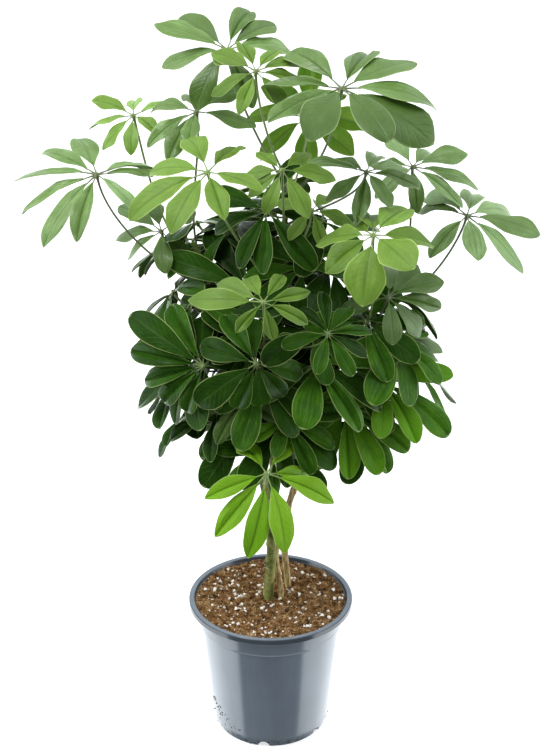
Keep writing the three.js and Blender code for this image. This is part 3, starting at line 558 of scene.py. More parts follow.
trunks = []
for stem_name, stem in STEMS.items():
    path, foot, tip = stem["path"], stem["foot"], stem["tip"]
    steps = round(sum(dist(a, b) for a, b in zip(path, path[1:])) / STEM_STEP)
    scars = []
    scar = LOWEST_SCAR
    while scar < path[-1][2]:
        scars.append((scar, vary(*SCAR_STRENGTH)))
        scar += vary(*SCAR_SPACING)
    points = []
    for k in range(steps + 1):
        share = k / steps
        place = curve_point(path, share)
        radius = min(foot + (tip - foot) * share, stem["girth"])
        swell = sum(s * exp(-(((place.z - z) / SCAR_REACH) ** 2)) for z, s in scars)
        across, back = (place.z * beat for beat in SWAY_BEATS)
        sway = Vector((sin(across + foot), cos(back), 0)) * STEM_SWAY
        points.append((place + sway, radius * (BARK_SLIM + SCAR_SWELL * swell)))
    way = curve_way(curve_point, path, 1)
    end = curve_point(path, 1)
    points += [(end + way * reach, tip * thick) for reach, thick in BUD]
    trunk = tubes("trunk_" + stem_name, [points], resolution=6)
    gnarls = bpy.data.textures.new("gnarls", "CLOUDS")
    gnarls.noise_scale = GNARL_SIZE * MM
    relief = {"texture": gnarls, "strength": GNARL_DEPTH * MM, "mid_level": 0.5}
    apply_modifier(trunk, "DISPLACE", texture_coords="LOCAL", **relief)
    smooth(trunk, degrees=70)

    bark = Finish("bark_" + stem_name, {"Specular IOR Level": 0.2})
    height = bark.part(bark.where, "Z")
    fissure = bark.noise(420, 4, 0.6, stretch=(1, 1, 0.22))
    patch = bark.noise(75, 4, 0.55, stretch=(1, 1, 0.6))
    lenticel = bark.step(bark.noise(330, 2, stretch=(1, 1, 2.2)), 0.6, 0.66)
    ring = bark.step(bark.noise(90, 3, stretch=(0.15, 0.15, 1)), 0.56, 0.64)
    cork = bark.step(stem["cork"] + 0.34 - height * 1.25 + (patch - 0.5) * 2.4, 0.15, 0.5)
    green = bark.mix(bark.step(patch, 0.35, 0.65), "3f4c0c", "a5ab62")
    green = bark.mix(ring * 0.6, green, "bdb985")
    tan = bark.mix(bark.step(fissure, 0.35, 0.65), "927848", "dcc691")
    skin = bark.mix(lenticel * 0.4, bark.mix(cork, green, tan), "c4b283")
    young = bark.mix(patch, "54752f", "7f9c4b")
    skin = bark.mix(bark.step(height, 0.42, 0.6) * 0.8, skin, young)
    rough = 0.55 + cork * 0.25 + fissure * 0.15
    relief = fissure * 0.5 + lenticel * 0.6 + patch * 0.4
    trunk.data.materials.append(bark.show(skin, rough, relief, 0.6, 0.0008))
    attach(trunk, "root")
    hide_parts("stem_" + stem_name)
    trunks.append(trunk)


# Leaves. Palmate leaves on slender stalks, flared where they clasp the bark and ending in a small
# knob. From the knob spring leaflets on short stalks, each a leathery blade folded at its midrib.
def placed(stem, foot, hub, faces, age, *leaflets, **more):
    """A leaf that the photo shows: its stem and the height of its foot, its knob, the bearing and
    tilt that it faces, and each leaflet's turn about the knob, its length and its droop."""
    return dict(stem=stem, foot=foot, hub=hub, faces=faces, age=age, leaflets=leaflets, **more)


# A leaf's extra lightness is painted light: leaves where the side lights fall are painted lighter.
PLACED_LEAVES = [
    placed("main", 662, (-44, 30, 798), (-95, 28), "grown", (-132, 82, -2), (-107, 84, -8),
        (-85, 74, 12), (-30, 74, 22), (28, 70, 24), (120, 82, 16), (144, 82, 10), (168, 82, 3),
        pale=0.2),
    placed("main", 672, (-14, -30, 790), (-90, 28), "young", (-164, 62, 8), (-140, 62, 9),
        (-116, 62, 9), (-75, 52, 22), (-20, 50, 22), (45, 52, 24), (96, 56, 22), (125, 62, 14),
        (148, 62, 17)),
    placed("left", 582, (-76, 20, 736), (-110, 22), "grown", (-150, 66, 13), (-104, 66, 6),
        (-40, 66, 8), (-14, 66, 16), (12, 58, -4), (118, 66, 18), (142, 66, 4), pale=0.2),
    placed("left", 566, (-144, 50, 724), (-120, 20), "young", (-148, 56, 10), (-95, 56, -12),
        (-66, 54, 8), (-30, 50, 25), (20, 46, 30), (66, 50, 0), (150, 56, 8), pale=0.5),
    placed("left", 548, (-176, -30, 684), (-95, 20), "grown", (-167, 98, 11), (-130, 98, 12),
        (-99, 98, 7), (-74, 90, 22), (-34, 98, 18), (-9, 86, 12), (50, 62, 10), (105, 66, 10),
        (154, 98, 15), pale=0.6, wide=0.85),
    placed("main", 548, (-60, -100, 708), (-100, 22), "young", (-162, 82, 6), (-111, 82, 17),
        (-57, 94, 12), (-18, 82, 7), (22, 72, 2), (60, 72, -8), (164, 82, 16)),
    placed("main", 652, (70, -60, 780), (-85, 22), "grown", (-148, 98, 11), (-102, 82, 14),
        (-60, 90, 1), (-28, 90, -6), (24, 92, -1), (60, 108, 16), (89, 104, 7), (122, 98, 3),
        (154, 98, 8), wide=1.17),
    placed("main", 642, (40, 80, 714), (95, 60), "young", (-177, 78, -24), (-148, 69, 13),
        (-94, 73, 14), (-50, 70, 15), (0, 66, 20), (52, 72, 15), (106, 78, 12), (141, 78, 5),
        wide=1.15, look="lit_young"),
    placed("main", 622, (96, -60, 696), (-80, 22), "grown", (-152, 56, 20), (-128, 62, 2),
        (-60, 54, 15), (-17, 62, 15), (14, 56, -2), (84, 62, 17), (118, 62, 16), (154, 62, 16),
        pale=0.3),
    placed("right", 538, (150, 30, 674), (-85, 25), "grown", (-162, 64, 3), (-123, 56, 18),
        (-60, 54, 20), (0, 54, 20), (52, 70, 18), (80, 78, 12), (106, 66, -6), (148, 64, 17),
        pale=0.55),
    placed("right", 526, (206, 0, 630), (-70, 22), "grown", (-170, 84, 17), (-144, 74, 24),
        (-60, 66, 20), (-16, 74, -2), (36, 88, 20), (69, 86, 8), (110, 84, 14), (138, 84, 16),
        pale=0.55),
    placed("right", 492, (100, -130, 654), (-95, 28), "young", (-177, 68, 17), (-145, 68, 24),
        (-106, 68, 26), (-56, 60, 20), (-8, 76, 18), (36, 68, -10), (102, 68, 20), (150, 68, 22),
        wide=1.55),
    placed("main", 572, (42, -60, 656), (-90, 30), "young", (-160, 40, 15), (-100, 42, 18),
        (-40, 40, 20), (20, 42, 28), (76, 46, 18), (132, 46, 18)),
    placed("main", 596, (12, -100, 710), (-90, 40), "young", (-140, 44, 20), (-92, 44, 15),
        (-58, 44, 20), (-22, 48, 20), (32, 56, 18), (90, 58, 12), (138, 48, 20)),
    placed("main", 446, (-6, -170, 600), (-90, 50), "young", (-156, 62, 38), (-122, 66, 24),
        (-94, 78, 6), (-50, 44, 28), (18, 46, 48), (72, 52, 20), (108, 52, 18), (152, 52, 28),
        wide=0.85),
    placed("left", 398, (-4, -130, 394), (-60, 40), "young", (-88, 72, 12), (-60, 86, 25),
        (-28, 92, 24), (-1, 88, 14), (56, 86, 8), (82, 72, 24), (133, 84, 17), (173, 72, 36),
        wide=0.88, look="lit_young"),
    placed("left", 442, (-68, -100, 502), (-100, 60), "old", (-163, 85, 34), (-143, 90, 18),
        (-121, 100, 5), (-98, 90, 10), (-78, 82, 26), (-55, 82, 34), (-30, 74, 44), (12, 66, 50),
        (104, 62, 46), (148, 70, 42), wide=0.9),
    placed("main", 424, (-14, -120, 514), (-90, 60), "old", (-149, 72, 28), (-104, 72, 36),
        (-58, 84, 22), (-26, 68, 44), (8, 64, 50), (42, 62, 44), (82, 64, 38), (126, 66, 40),
        (171, 66, 35), wide=1.05),
    placed("main", 468, (58, -120, 546), (-80, 40), "old", (-152, 52, 19), (-82, 50, 5),
        (-22, 48, -2), (28, 50, 20), (66, 50, 24), (100, 54, 15), (142, 52, 12), (178, 52, 5),
        wide=0.95),
    placed("main", 402, (46, -80, 494), (-70, 40), "old", (-120, 76, 20), (-72, 74, 12),
        (-26, 80, -6), (20, 86, 4), (56, 92, 14), (88, 100, -6), (140, 82, 15), pale=0.25,
        wide=1.15),
    placed("right", 466, (122, -50, 558), (-70, 35), "grown", (-155, 58, 32), (-80, 54, 25),
        (-11, 58, 2), (46, 60, 28), (78, 66, 14), (100, 70, -6), (126, 66, 4), (154, 66, 10)),
    placed("right", 438, (124, 0, 494), (-80, 28), "grown", (-70, 54, 15), (-29, 56, -2),
        (7, 56, 4), (45, 60, 20), (80, 72, 7), (106, 62, 4), (134, 62, 10), pale=0.1),
    placed("right", 398, (118, -40, 458), (-60, 30), "old", (-150, 70, 15), (-68, 70, -8),
        (-24, 70, 10), (8, 80, 10), (40, 98, 16), (76, 82, -10), (129, 70, 14), pale=0.85),
    placed("left", 500, (-22, -40, 562), (-110, 50), "old", (-60, 80, 26), (-83, 96, 10),
        (-104, 100, 2), (-126, 98, 6), (-148, 92, 12), (-171, 84, 20), (164, 84, 22), (130, 74, 30),
        (90, 70, 36), wide=0.8),
    placed("main", 518, (34, -48, 590), (-80, 42), "old", (-176, 76, 8), (-150, 76, 12),
        (156, 74, 6), (128, 72, 18), (98, 66, 18), (-110, 74, 16), (-62, 66, 26), (-14, 60, 36)),
    placed("left", 530, (-116, 20, 606), (-100, 30), "grown", (-157, 62, 7), (-122, 66, -4),
        (-96, 64, 18), (-66, 56, 30), (5, 56, 0), (60, 52, 20), (156, 56, 24), pale=0.3),
    placed("left", 372, (-28, -60, 448), (-95, 40), "grown", (-132, 46, 15), (-76, 54, 11),
        (-30, 60, 11), (15, 50, 15), (55, 48, -2), (110, 46, 20)),
    placed("main", 352, (16, -70, 426), (-75, 40), "old", (-64, 52, -8), (-27, 52, -12),
        (17, 66, 10), (58, 64, 8), (92, 66, -5), (126, 58, 7), pale=0.55),
    placed("right", 362, (80, -40, 426), (-75, 40), "old", (-70, 62, 15), (-34, 76, 20),
        (-5, 78, 17), (20, 82, 10), (44, 86, 8), (76, 64, 7), (150, 62, 25), pale=0.7),
    placed("main", 318, (0, -60, 380), (-50, 30), "old", (-166, 58, 18), (-128, 64, 12),
        (-84, 60, 14), (-22, 50, 20), (38, 74, 7), (78, 52, 26), pale=0.5),
]
LEAF_RUNS = [
    {"stem": "main", "count": 6, "lowest": 422, "step": 30, "bearing": -144, "reach": 84},
    {"stem": "left", "count": 6, "lowest": 378, "step": 32, "bearing": 160, "reach": 76},
    # The right-hand run is painted lighter: painted light where the side light falls.
    {
        "stem": "right", "count": 5, "lowest": 366, "step": 30, "bearing": 20, "reach": 80,
        "pale": 0.4,
    },
]
GOLDEN_ANGLE = 137.5
BACK_SHARE = 0.62
RUN_LEAFLETS = 6
RUN_WIDTH = 1.1
RUN_SPREAD = (0, 9, 18)
RUN_TURNS = (0, 17, 34)
RUN_LENGTHS = (74, 79, 84)
RUN_DROOPS = (18, 22, 26)
RUN_RISES = (26, 32)
RUN_TILT = 38
RUN_SWINGS = (0, 14, -14, 28, -28, 42, -42, 56, -56)
STALK_BOWS = (0, 12, -12, 24, -24, 38, -38, 54, -54)
BEND_LENGTHS = (1, 0.86, 0.72)
BEND_DROOPS = (0, 9, -9, 18, -18, 27, -27, 36)
BEND_SWINGS = (0, 8, -8, 16, -16)
SAME_PLACE = 0.4
SEAT_GAP = 0.35
FOOT_RADIUS = 2.1
FOOT_SUNK = 2.2
FOOT_END = 2.5
STALK_RADIUS = 1.35
STALK_SLIM = 1.2
STALK_STEPS = 23
STALK_RISE = 0.32
STALK_DROP = 0.3
KNOB_TOP = 3.4
KNOB = ((-3.4, 2.0), (-1.8, 2.6), (0, 2.7), (1.4, 2.1), (2.4, 1.2), (2.9, 0.4))
LEAFLET_STALK = ((0.05, 1.15), (0.3, 0.9), (0.6, 0.75), (0.85, 0.7))
BLADE_ARCH = radians(34)
BLADE_WIDTH = 0.186
BLADE_ROWS = 12
BLADE_COLUMNS = 4
BLADE_THICKNESS = 0.45
BLADE_NECK = 0.8
BLADE_SWAY = 0.035
BLADE_CROWDING = 1.6
MERGED_WITHIN = 0.02
WAVE_BEATS = (0.9, 1.7)
LOBE_BEATS = (2.2, 3.2)
PHASES = (0, 6.28)
ROLL_START = 0.4
ROLL_TIP = 0.85
CURL_POWER = 2.5
FOLD_FULL = 0.8
FOLD_RISE = 0.16
FOLD_DRAW = 0.12
EDGE_START = 0.75
EDGE_DROP = 0.3
LIGHTNESS = (0.15, 0.85)
MIDRIB_DEPTH = 1.6
RIB_END = 0.93
RIB_RADIUS = 0.66
RIB_TAPER = 0.58
FLARE = (1.0, 5)
SWELL = (0.5, 9)
USUAL_LENGTH = 80


def leaf_axes(leaf):
    """The umbrella's axis, the way it leans, and the way across."""
    bearing, tilt = (radians(angle) for angle in leaf["faces"])
    ca, sa, ct, st = cos(bearing), sin(bearing), cos(tilt), sin(tilt)
    return Vector((ca * st, sa * st, ct)), Vector((ca * ct, sa * ct, -st)), Vector((-sa, ca, 0))


def midrib(leaf, leaflet, share):
    """A point of a leaflet's midrib, with the blade's normal there and the way across it."""
    axis, lean, side = leaf_axes(leaf)
    turn, length, droop = leaflet
    around = radians(turn)
    out = lean * cos(around) + side * sin(around)
    across = side * cos(around) - lean * sin(around)
    start = BLADE_ARCH / 2 - radians(droop)
    angle = start - BLADE_ARCH * share
    reach = length / BLADE_ARCH * (sin(start) - sin(angle))
    climb = length / BLADE_ARCH * (cos(angle) - cos(start))
    normal = axis * cos(angle) - out * sin(angle)
    return Vector(leaf["hub"]) + out * reach + axis * climb, normal, across


def share_at_height(path, height):
    low, high = 0, 1
    while high - low > 1e-6:
        middle = (low + high) / 2
        if curve_point(path, middle).z < height:
            low = middle
        else:
            high = middle
    return low


def bark_reach(stem, share, way, outward):
    """From the stem's centre line to the flat of the CAD stem that faces outward."""
    first = (Vector((1, 0, 0)) - way * way.x).normalized()
    second = way.cross(first)
    half = pi / stem["sides"]
    angle = atan2(outward.dot(second), outward.dot(first))
    from_flat = angle - half - 2 * half * (((angle - half) / (2 * half) + 0.5) // 1)
    ring, part = divmod(share * stem["rings"], 1)
    here, onward = (STEM_WAIST, 1) if ring % 2 == 0 else (1, STEM_WAIST)
    radius = stem["foot"] + (stem["tip"] - stem["foot"]) * share
    return radius * (here + (onward - here) * part) * cos(half) / cos(from_flat)


def stalk_line(leaf):
    """The four control points of the leaf stalk's curve, and the way out of the bark."""
    stem = STEMS[leaf["stem"]]
    path = stem["path"]
    share = share_at_height(path, leaf["foot"])
    way = curve_way(curve_point, path, share)
    centre, hub = curve_point(path, share), Vector(leaf["hub"])
    outward = hub - centre
    outward.z = 0
    outward = (outward - way * outward.dot(way)).normalized()
    clear = bark_reach(stem, share, way, outward) + SEAT_GAP + FOOT_RADIUS * sqrt(0.5)
    foot = centre + outward * clear
    start = (outward + way).normalized()
    span = (hub - foot).length
    sideways = start.cross(hub - foot).normalized() * leaf["bow"]
    rising = foot + start * span * STALK_RISE + sideways
    arriving = hub - leaf_axes(leaf)[0] * span * STALK_DROP + sideways
    return (foot, rising, arriving, hub), outward


def on_stalk(line, share):
    a, b, c, d = line
    back = 1 - share
    return a * back**3 + b * 3 * back**2 * share + c * 3 * back * share**2 + d * share**3


def run_leaf(run, i, **more):
    """An older leaf of a run up a stem, before it is swung round the stem."""
    foot = run["lowest"] + run["step"] * i
    return dict(stem=run["stem"], foot=foot, age="old", pale=run.get("pale", 0), **more)


def run_leaves():
    """The fuller, older leaves of the bush: a run up each stem, mostly turned to the back."""
    leaves = []
    for run in LEAF_RUNS:
        for i in range(run["count"]):
            around = (run["bearing"] + GOLDEN_ANGLE * i + 180) % 360 - 180
            from_back = around + 270 if around < -90 else around - 90
            leaflets = []
            for k in range(RUN_LEAFLETS):
                turn = 360 / RUN_LEAFLETS * k + RUN_TURNS[i % 3]
                leaflets.append((turn, RUN_LENGTHS[(i + k) % 3], RUN_DROOPS[k % 3]))
            leaf = run_leaf(run, i, wide=RUN_WIDTH, leaflets=leaflets)
            leaf["bearing"] = 90 + from_back * BACK_SHARE
            leaf["reach"] = run["reach"] + RUN_SPREAD[i % 3]
            leaf["rise"] = RUN_RISES[i % 2]
            leaf["tilt"] = RUN_TILT - 2 * i
            leaves.append(leaf)
    return leaves


def level_way(degrees):
    """The level direction at a bearing, which is 0 along X and 90 along Y."""
    return Vector((cos(radians(degrees)), sin(radians(degrees)), 0))


def swung(leaf, degrees):
    """A leaf of a run once it is swung round its stem."""
    path = STEMS[leaf["stem"]]["path"]
    centre = curve_point(path, share_at_height(path, leaf["foot"]))
    bearing = leaf["bearing"] + degrees
    away = level_way(bearing) * leaf["reach"]
    hub = (centre.x + away.x, centre.y + away.y, leaf["foot"] + leaf["rise"])
    return {**leaf, "hub": hub, "faces": (bearing, leaf["tilt"])}


def stray(corners, places):
    """How far the places lie from the CAD node's corners, added up."""
    return sum(corners.find(place)[2] for place in places)


def knob_top(leaf):
    return Vector(leaf["hub"]) + leaf_axes(leaf)[0] * KNOB_TOP


def stalk_corners(leaf):
    """Where the CAD stalk's rings have one of their corners."""
    line, _ = stalk_line(leaf)
    start = curve_way(on_stalk, line, 0)
    towards = start.cross(line[3] - line[0])
    places = []
    for share in (0.25, 0.5, 0.75):
        way = curve_way(on_stalk, line, share)
        first = (towards - way * towards.dot(way)).normalized()
        places.append(on_stalk(line, share) + first * STALK_RADIUS)
    return places


def settled(leaf, node):
    """The leaf as its CAD node stands: its swing, its stalk's bow, and each leaflet's bend."""
    corners = kdtree.KDTree(len(node.data.vertices))
    for vertex in node.data.vertices:
        corners.insert(vertex.co / MM, vertex.index)
    corners.balance()
    if "hub" not in leaf:
        stands = [swung(leaf, degrees) for degrees in RUN_SWINGS]
        leaf = min(stands, key=lambda stand: stray(corners, [knob_top(stand)]))
    bows = [{**leaf, "bow": bow} for bow in STALK_BOWS]
    leaf = min(bows, key=lambda stand: stray(corners, stalk_corners(stand)))
    kept = []
    for turn, length, droop in leaf["leaflets"]:
        bends = [
            (turn + swing, length * shorter, droop + more)
            for shorter in BEND_LENGTHS
            for more in BEND_DROOPS
            for swing in BEND_SWINGS
        ]
        best = min(bends, key=lambda bend: stray(corners, [midrib(leaf, bend, 1)[0]]))
        if stray(corners, [midrib(leaf, best, 1)[0]]) < SAME_PLACE:
            kept.append(best)
    return {**leaf, "leaflets": kept}


def blade_outline(along, age):
    """Half the blade's width at a share of its length, as a share of the widest."""
    if along <= age["widest"]:
        return sin(pi / 2 * along / age["widest"]) ** age["base"]
    onward = (along - age["widest"]) / (1 - age["widest"])
    return max(0, cos(pi / 2 * onward)) ** age["taper"]


# The blade that every leaflet is a copy of: a flat grid with its rows closer towards the tip, x
# along it from 0 to 1 and y across it from -1 to 1, which its own UV map keeps.
select_only()
bpy.ops.mesh.primitive_grid_add(x_subdivisions=BLADE_ROWS, y_subdivisions=BLADE_COLUMNS, size=1)
blade = bpy.context.object
set_mode("EDIT")
bpy.ops.transform.resize(value=(1, 2, 1), center_override=(0, 0, 0))
bpy.ops.transform.translate(value=(0.5, 0, 0))
set_mode("OBJECT")
for vertex in blade.data.vertices:
    vertex.co.x = 1 - max(0, 1 - vertex.co.x) ** BLADE_CROWDING
blade_map = blade.data.uv_layers.active
blade_map.name = "blade"
for loop in blade.data.loops:
    spot = blade.data.vertices[loop.vertex_index].co
    blade_map.data[loop.index].uv = (spot.x, spot.y / 2 + 0.5)

# What leaves of each age are like, old ones first, then grown and young ones: the blade's outline
# and bends, its colours with one of painted light, and how it takes the light. Lit young leaves are
# young ones in brighter, yellower colours: partly their own colour, partly painted light.
AGE_TRAITS = {
    "widest": (0.68, 0.6, 0.56),
    "start": (0.12, 0.16, 0.18),
    "base": (1.1, 1.05, 1.0),
    "taper": (0.5, 0.62, 0.74),
    "wave": (1.1, 1.9, 1.7),
    "twist": (24, 34, 26),
    "curl": ((-0.02, 0.1), (0.0, 0.16), (0.0, 0.13)),
    "fold": ((0.0, 2.4), (-0.4, 2.4), (-0.2, 2.0)),
    "roll": ((-0.1, 0.26), (-0.05, 0.5), (-0.1, 0.36)),
    "lobes": (0.012, 0.035, 0.05),
    "dark": ("19330a", "456024", "547222"),
    "light": ("386317", "678641", "76973a"),
    # The colour that painted light and painted sheen lighten a leaf towards.
    "pale": ("5f941c", "8fae72", "93b86c"),
    "margin": ("a3b46f", "aec287", "b3c877"),
    "rib": ("5c7d38", "476726", "4a6f20"),
    "under": ("587336", "76914e", "88a556"),
    "roughness": (0.17, 0.3, 0.38),
    "glow": (0.0, 0.2, 0.4),
    "gloss": (0.08, 0.5, 0.3),
    "ribs": (0.18, 0.3, 0.45),
    "edge": (0.75, 0.4, 0.6),
    "stalk": ("5f7a3c", "4f5b36", "76904e"),
}
AGES = {
    name: {trait: values[k] for trait, values in AGE_TRAITS.items()}
    for k, name in enumerate(("old", "grown", "young"))
}
# A brighter, yellower copy of the young colours: partly the leaves' own colour, partly painted
# light.
AGES["lit_young"] = {**AGES["young"], "dark": "649418", "light": "80ab2a", "gloss": 0.12}
STALK_BROWN = "5d5a3a"
VEIN_PAIRS = 9
VEIN_SWEEP = 2.4


def blade_finish(name, age, under):
    """A leaf surface: mottled green with painted light, side veins swept to the tip, a midrib and a
    light green margin.
    """
    constants = {
        "IOR": 1.45,
        "Specular IOR Level": age["gloss"] * (0.6 if under else 1),
        "Subsurface Weight": age["glow"],
        "Subsurface Radius": (0.8, 1.0, 0.3),
        "Subsurface Scale": 0.002,
    }
    look = Finish(name, constants)
    spot = look.node("UVMap", {"uv_map": "blade"}, {})
    along, side = look.part(spot, "X"), abs(look.part(spot, "Y") * 2 - 1)
    shade = look.node("Attribute", {"attribute_name": "shade"}, {}, "Fac")
    mottle = look.noise(60, 4, 0.6)
    lengthwise = look.node("Mapping", {}, {"Vector": spot, "Scale": (1.1, 7, 1)})
    grain = {"Vector": lengthwise, "W": shade * 41, "Scale": 2.2, "Detail": 3}
    streak = look.node("TexNoise", {"noise_dimensions": "4D"}, grain)
    cells = look.noise(1400, 2)
    wander = look.noise(45, 2) * 0.8
    beat = abs((along * VEIN_PAIRS - side * VEIN_SWEEP + wander).fraction() - 0.5)
    fade = look.step(side, 0.02, 0.12) * (1 - look.step(side, 0.72, 0.95))
    veins = (1 - look.step(beat, 0.02, 0.16)) * (fade * look.step(along, 0.02, 0.12))
    rib = 1 - look.step(side - (1 - along) * 0.03, 0.02, 0.11)
    rib = rib * (1 - look.step(along, 0.8, 1))
    edge = look.step(side, 0.935, 0.97).higher(look.step(along, 0.965, 0.99))
    # The shade attribute is each leaflet's random lightness plus its painted light.
    tone = mottle * 0.5 + streak * 0.35 + shade * 0.6 - 0.24
    skin = look.mix(look.step(tone, 0.1, 0.9), age["dark"], age["light"])
    # Painted sheen: blotches mixed towards a lighter colour where the mottle, streaks and painted
    # light add up.
    painted_sheen = look.step(shade + streak * 1.2 + mottle * 0.8 - 1, 0.75, 1.6)
    skin = look.mix(painted_sheen, skin, age["pale"])
    if under:
        skin = look.mix(0.75, skin, age["under"])
    skin = look.mix(veins * 0.08, skin, age["rib"])
    skin = look.mix(rib * age["ribs"], skin, age["rib"])
    skin = look.mix(edge * age["edge"], skin, age["margin"])
    rough = age["roughness"] + (0.25 if under else 0)
    relief = (veins + rib * 2) * (1 if under else -1) + cells * 0.25 + mottle * 0.5
    return look.show(skin, rough + mottle * 0.12, relief, 0.35, 0.0005)


def stalk_finish(name, age):
    """The stalks' smooth skin, streaked along its length and browner in places."""
    look = Finish(name, {"Specular IOR Level": 0.45})
    streak = look.noise(900, 3, 0.6)
    brown = look.step(look.noise(55, 3), 0.4, 0.75) * 0.6
    skin = look.mix(brown, age["stalk"], STALK_BROWN)
    skin = look.mix(streak * 0.35, skin, age["margin"])
    return look.show(skin, 0.4 + streak * 0.2, streak, 0.3, 0.0003)


leaf_looks = {
    name: [
        blade_finish(name + "_blade", age, False),
        blade_finish(name + "_underside", age, True),
        stalk_finish(name + "_stalk", age),
    ]
    for name, age in AGES.items()
}


def shaped_blade(leaf, leaflet):
    """A copy of the blade laid along a leaflet's midrib, and the points down its middle."""
    age = AGES[leaf["age"]]
    length = leaflet[1]
    widest = length * BLADE_WIDTH * leaf.get("wide", 1)
    curl = vary(*age["curl"]) * length
    sway = vary(-BLADE_SWAY, BLADE_SWAY) * length
    waves = [(vary(*WAVE_BEATS), vary(*PHASES)) for _ in range(2)]
    lobe = (vary(*LOBE_BEATS), vary(*PHASES))
    twist = radians(vary(-age["twist"], age["twist"]))
    cup = vary(*age["fold"])
    rolls = [vary(*age["roll"]) for _ in range(2)]
    places, keel = [], []
    for vertex in blade.data.vertices:
        along, across = vertex.co.x, vertex.co.y
        off = abs(across)
        share = age["start"] + (1 - age["start"]) * along
        point, normal, sideways = midrib(leaf, leaflet, share)
        half = widest * blade_outline(along, age)
        beats, phase = lobe
        half *= 1 + age["lobes"] * sin(beats * 2 * pi * along + phase + across) * along
        half = half + BLADE_NECK * (1 - along) ** 3
        beats, phase = waves[across > 0]
        ripple = sin(beats * 2 * pi * along + phase)
        wave = age["wave"] * across**2 * ripple * min(1, 3 * along)
        drop = EDGE_DROP * max(0, off - EDGE_START) / (1 - EDGE_START)
        fold = sin(min(1, off / FOLD_FULL) * pi / 2) - drop
        deep = MIDRIB_DEPTH * (0.5 + 0.5 * sin(pi * min(1, along * 1.05)))
        lift = deep * (fold - 1) + fold * cup * FOLD_RISE * half - curl * along**CURL_POWER
        held = sin(pi * min(ROLL_TIP, along))
        lift -= rolls[across > 0] * half * max(0, off - ROLL_START) * held
        lift += wave * min(1, half / 8)
        turn = twist * along
        reach = across * half * (1 - FOLD_DRAW * abs(fold * cup))
        lift += reach * sin(turn)
        aside = reach * cos(turn) + sway * along**2
        places.append(point + sideways * aside + normal * lift)
        if off < 0.01 and along < RIB_END:
            keel.append((along, places[-1], normal))
    copy = new_object("blade", blade.data.copy())
    copy.data.vertices.foreach_set("co", [axis * MM for place in places for axis in place])
    shade = copy.data.attributes.new("shade", "FLOAT", "POINT")
    # Each leaflet's own random lightness plus the leaf's painted light.
    lightness = vary(*LIGHTNESS) + leaf.get("pale", 0)
    shade.data.foreach_set("value", [lightness] * len(places))
    return copy, sorted(keel, key=lambda point: point[0])


def stalk_splines(leaf, keels):
    """The leaf stalk, its knob, and the leaflets' stalks that run on as ribs under the blades."""
    line, outward = stalk_line(leaf)
    hub, axis = line[3], leaf_axes(leaf)[0]
    span = (hub - line[0]).length
    stalk = [(line[0] - outward * FOOT_SUNK, FOOT_END)]
    for k in range(STALK_STEPS):
        share = k / STALK_STEPS
        flare = FLARE[0] * exp(-((share * span / FLARE[1]) ** 2))
        swell = SWELL[0] * exp(-(((1 - share) * span / SWELL[1]) ** 2))
        stalk.append((on_stalk(line, share), STALK_SLIM + flare + swell))
    stalk += [(hub + axis * height, radius) for height, radius in KNOB]
    splines = [stalk]
    start = AGES[leaf["age"]]["start"]
    for leaflet, keel in zip(leaf["leaflets"], keels):
        small = (leaflet[1] / USUAL_LENGTH) ** 0.5
        rib = []
        for part, radius in LEAFLET_STALK:
            point, normal, _ = midrib(leaf, leaflet, start * part)
            below = normal * part * (MIDRIB_DEPTH / 2 + BLADE_THICKNESS)
            rib.append((point - below, radius * small))
        for along, place, normal in keel:
            radius = (RIB_RADIUS - RIB_TAPER * along) * small
            rib.append((place - normal * (BLADE_THICKNESS + 0.3 * radius), radius))
        splines.append(rib)
    return splines


def umbrella_of(name, blades, splines, looks):
    """One piece of finished blades and stalks: the blades get their thickness and underside."""
    umbrella = joined(*blades)
    umbrella.name = name
    for look in looks:
        umbrella.data.materials.append(look)
    set_mode("EDIT")
    bpy.ops.mesh.select_all(action="SELECT")
    bpy.ops.mesh.remove_doubles(threshold=MERGED_WITHIN * MM)
    set_mode("OBJECT")
    thickness = BLADE_THICKNESS * MM
    apply_modifier(umbrella, "SOLIDIFY", thickness=thickness, offset=-1, material_offset=1)
    stalks = tubes("stalks", splines, resolution=1)
    stalks.data.materials.append(looks[2])
    smooth(joined(umbrella, stalks), degrees=60)
    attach(umbrella, "root")
    return umbrella


def surface_tree(piece):
    mesh = piece.data
    return BVHTree.FromPolygons([v.co for v in mesh.vertices], [p.vertices for p in mesh.polygons])


crowd = [surface_tree(trunk) for trunk in trunks]
for number, draft in enumerate(PLACED_LEAVES + run_leaves(), start=1):
    node = f"leaf_{number:02}"
    leaf = settled(draft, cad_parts[node])
    blades, keels = zip(*(shaped_blade(leaf, leaflet) for leaflet in leaf["leaflets"]))
    splines = stalk_splines(leaf, keels)
    looks = leaf_looks[leaf.get("look", leaf["age"])]
    umbrella = umbrella_of(f"umbrella_{number:02}", blades, splines, looks)
    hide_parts(node)
    leaf["age"] + "_leaf"
    crowd.append(surface_tree(umbrella))


# Inner leaves. The bush is thick with older leaves on short stalks close to the stems, each blade
# put where the leaves around it leave room, as they grow on the plant.
INNER_RUNS = [
    {"stem": "main", "count": 21, "lowest": 350, "step": 14, "bearing": 15},
    {"stem": "left", "count": 14, "lowest": 372, "step": 15, "bearing": 250},
    # The right-hand run is painted lighter: painted light where the side light falls.
    {"stem": "right", "count": 12, "lowest": 366, "step": 14, "bearing": 320, "pale": 0.3},
]
INNER_REACH = (28, 82)
INNER_RISE = (14, 40)
INNER_TILT = (18, 52)
INNER_WIDTH = (0.95, 1.15)
INNER_LEAFLETS = (6, 9)
INNER_TURN = (-8, 8)
INNER_LENGTH = (60, 84)
INNER_DROOP = (4, 26)
FEWEST_LEAFLETS = 2
STALK_ROOM = 2.4
STALK_LOOKS = 12


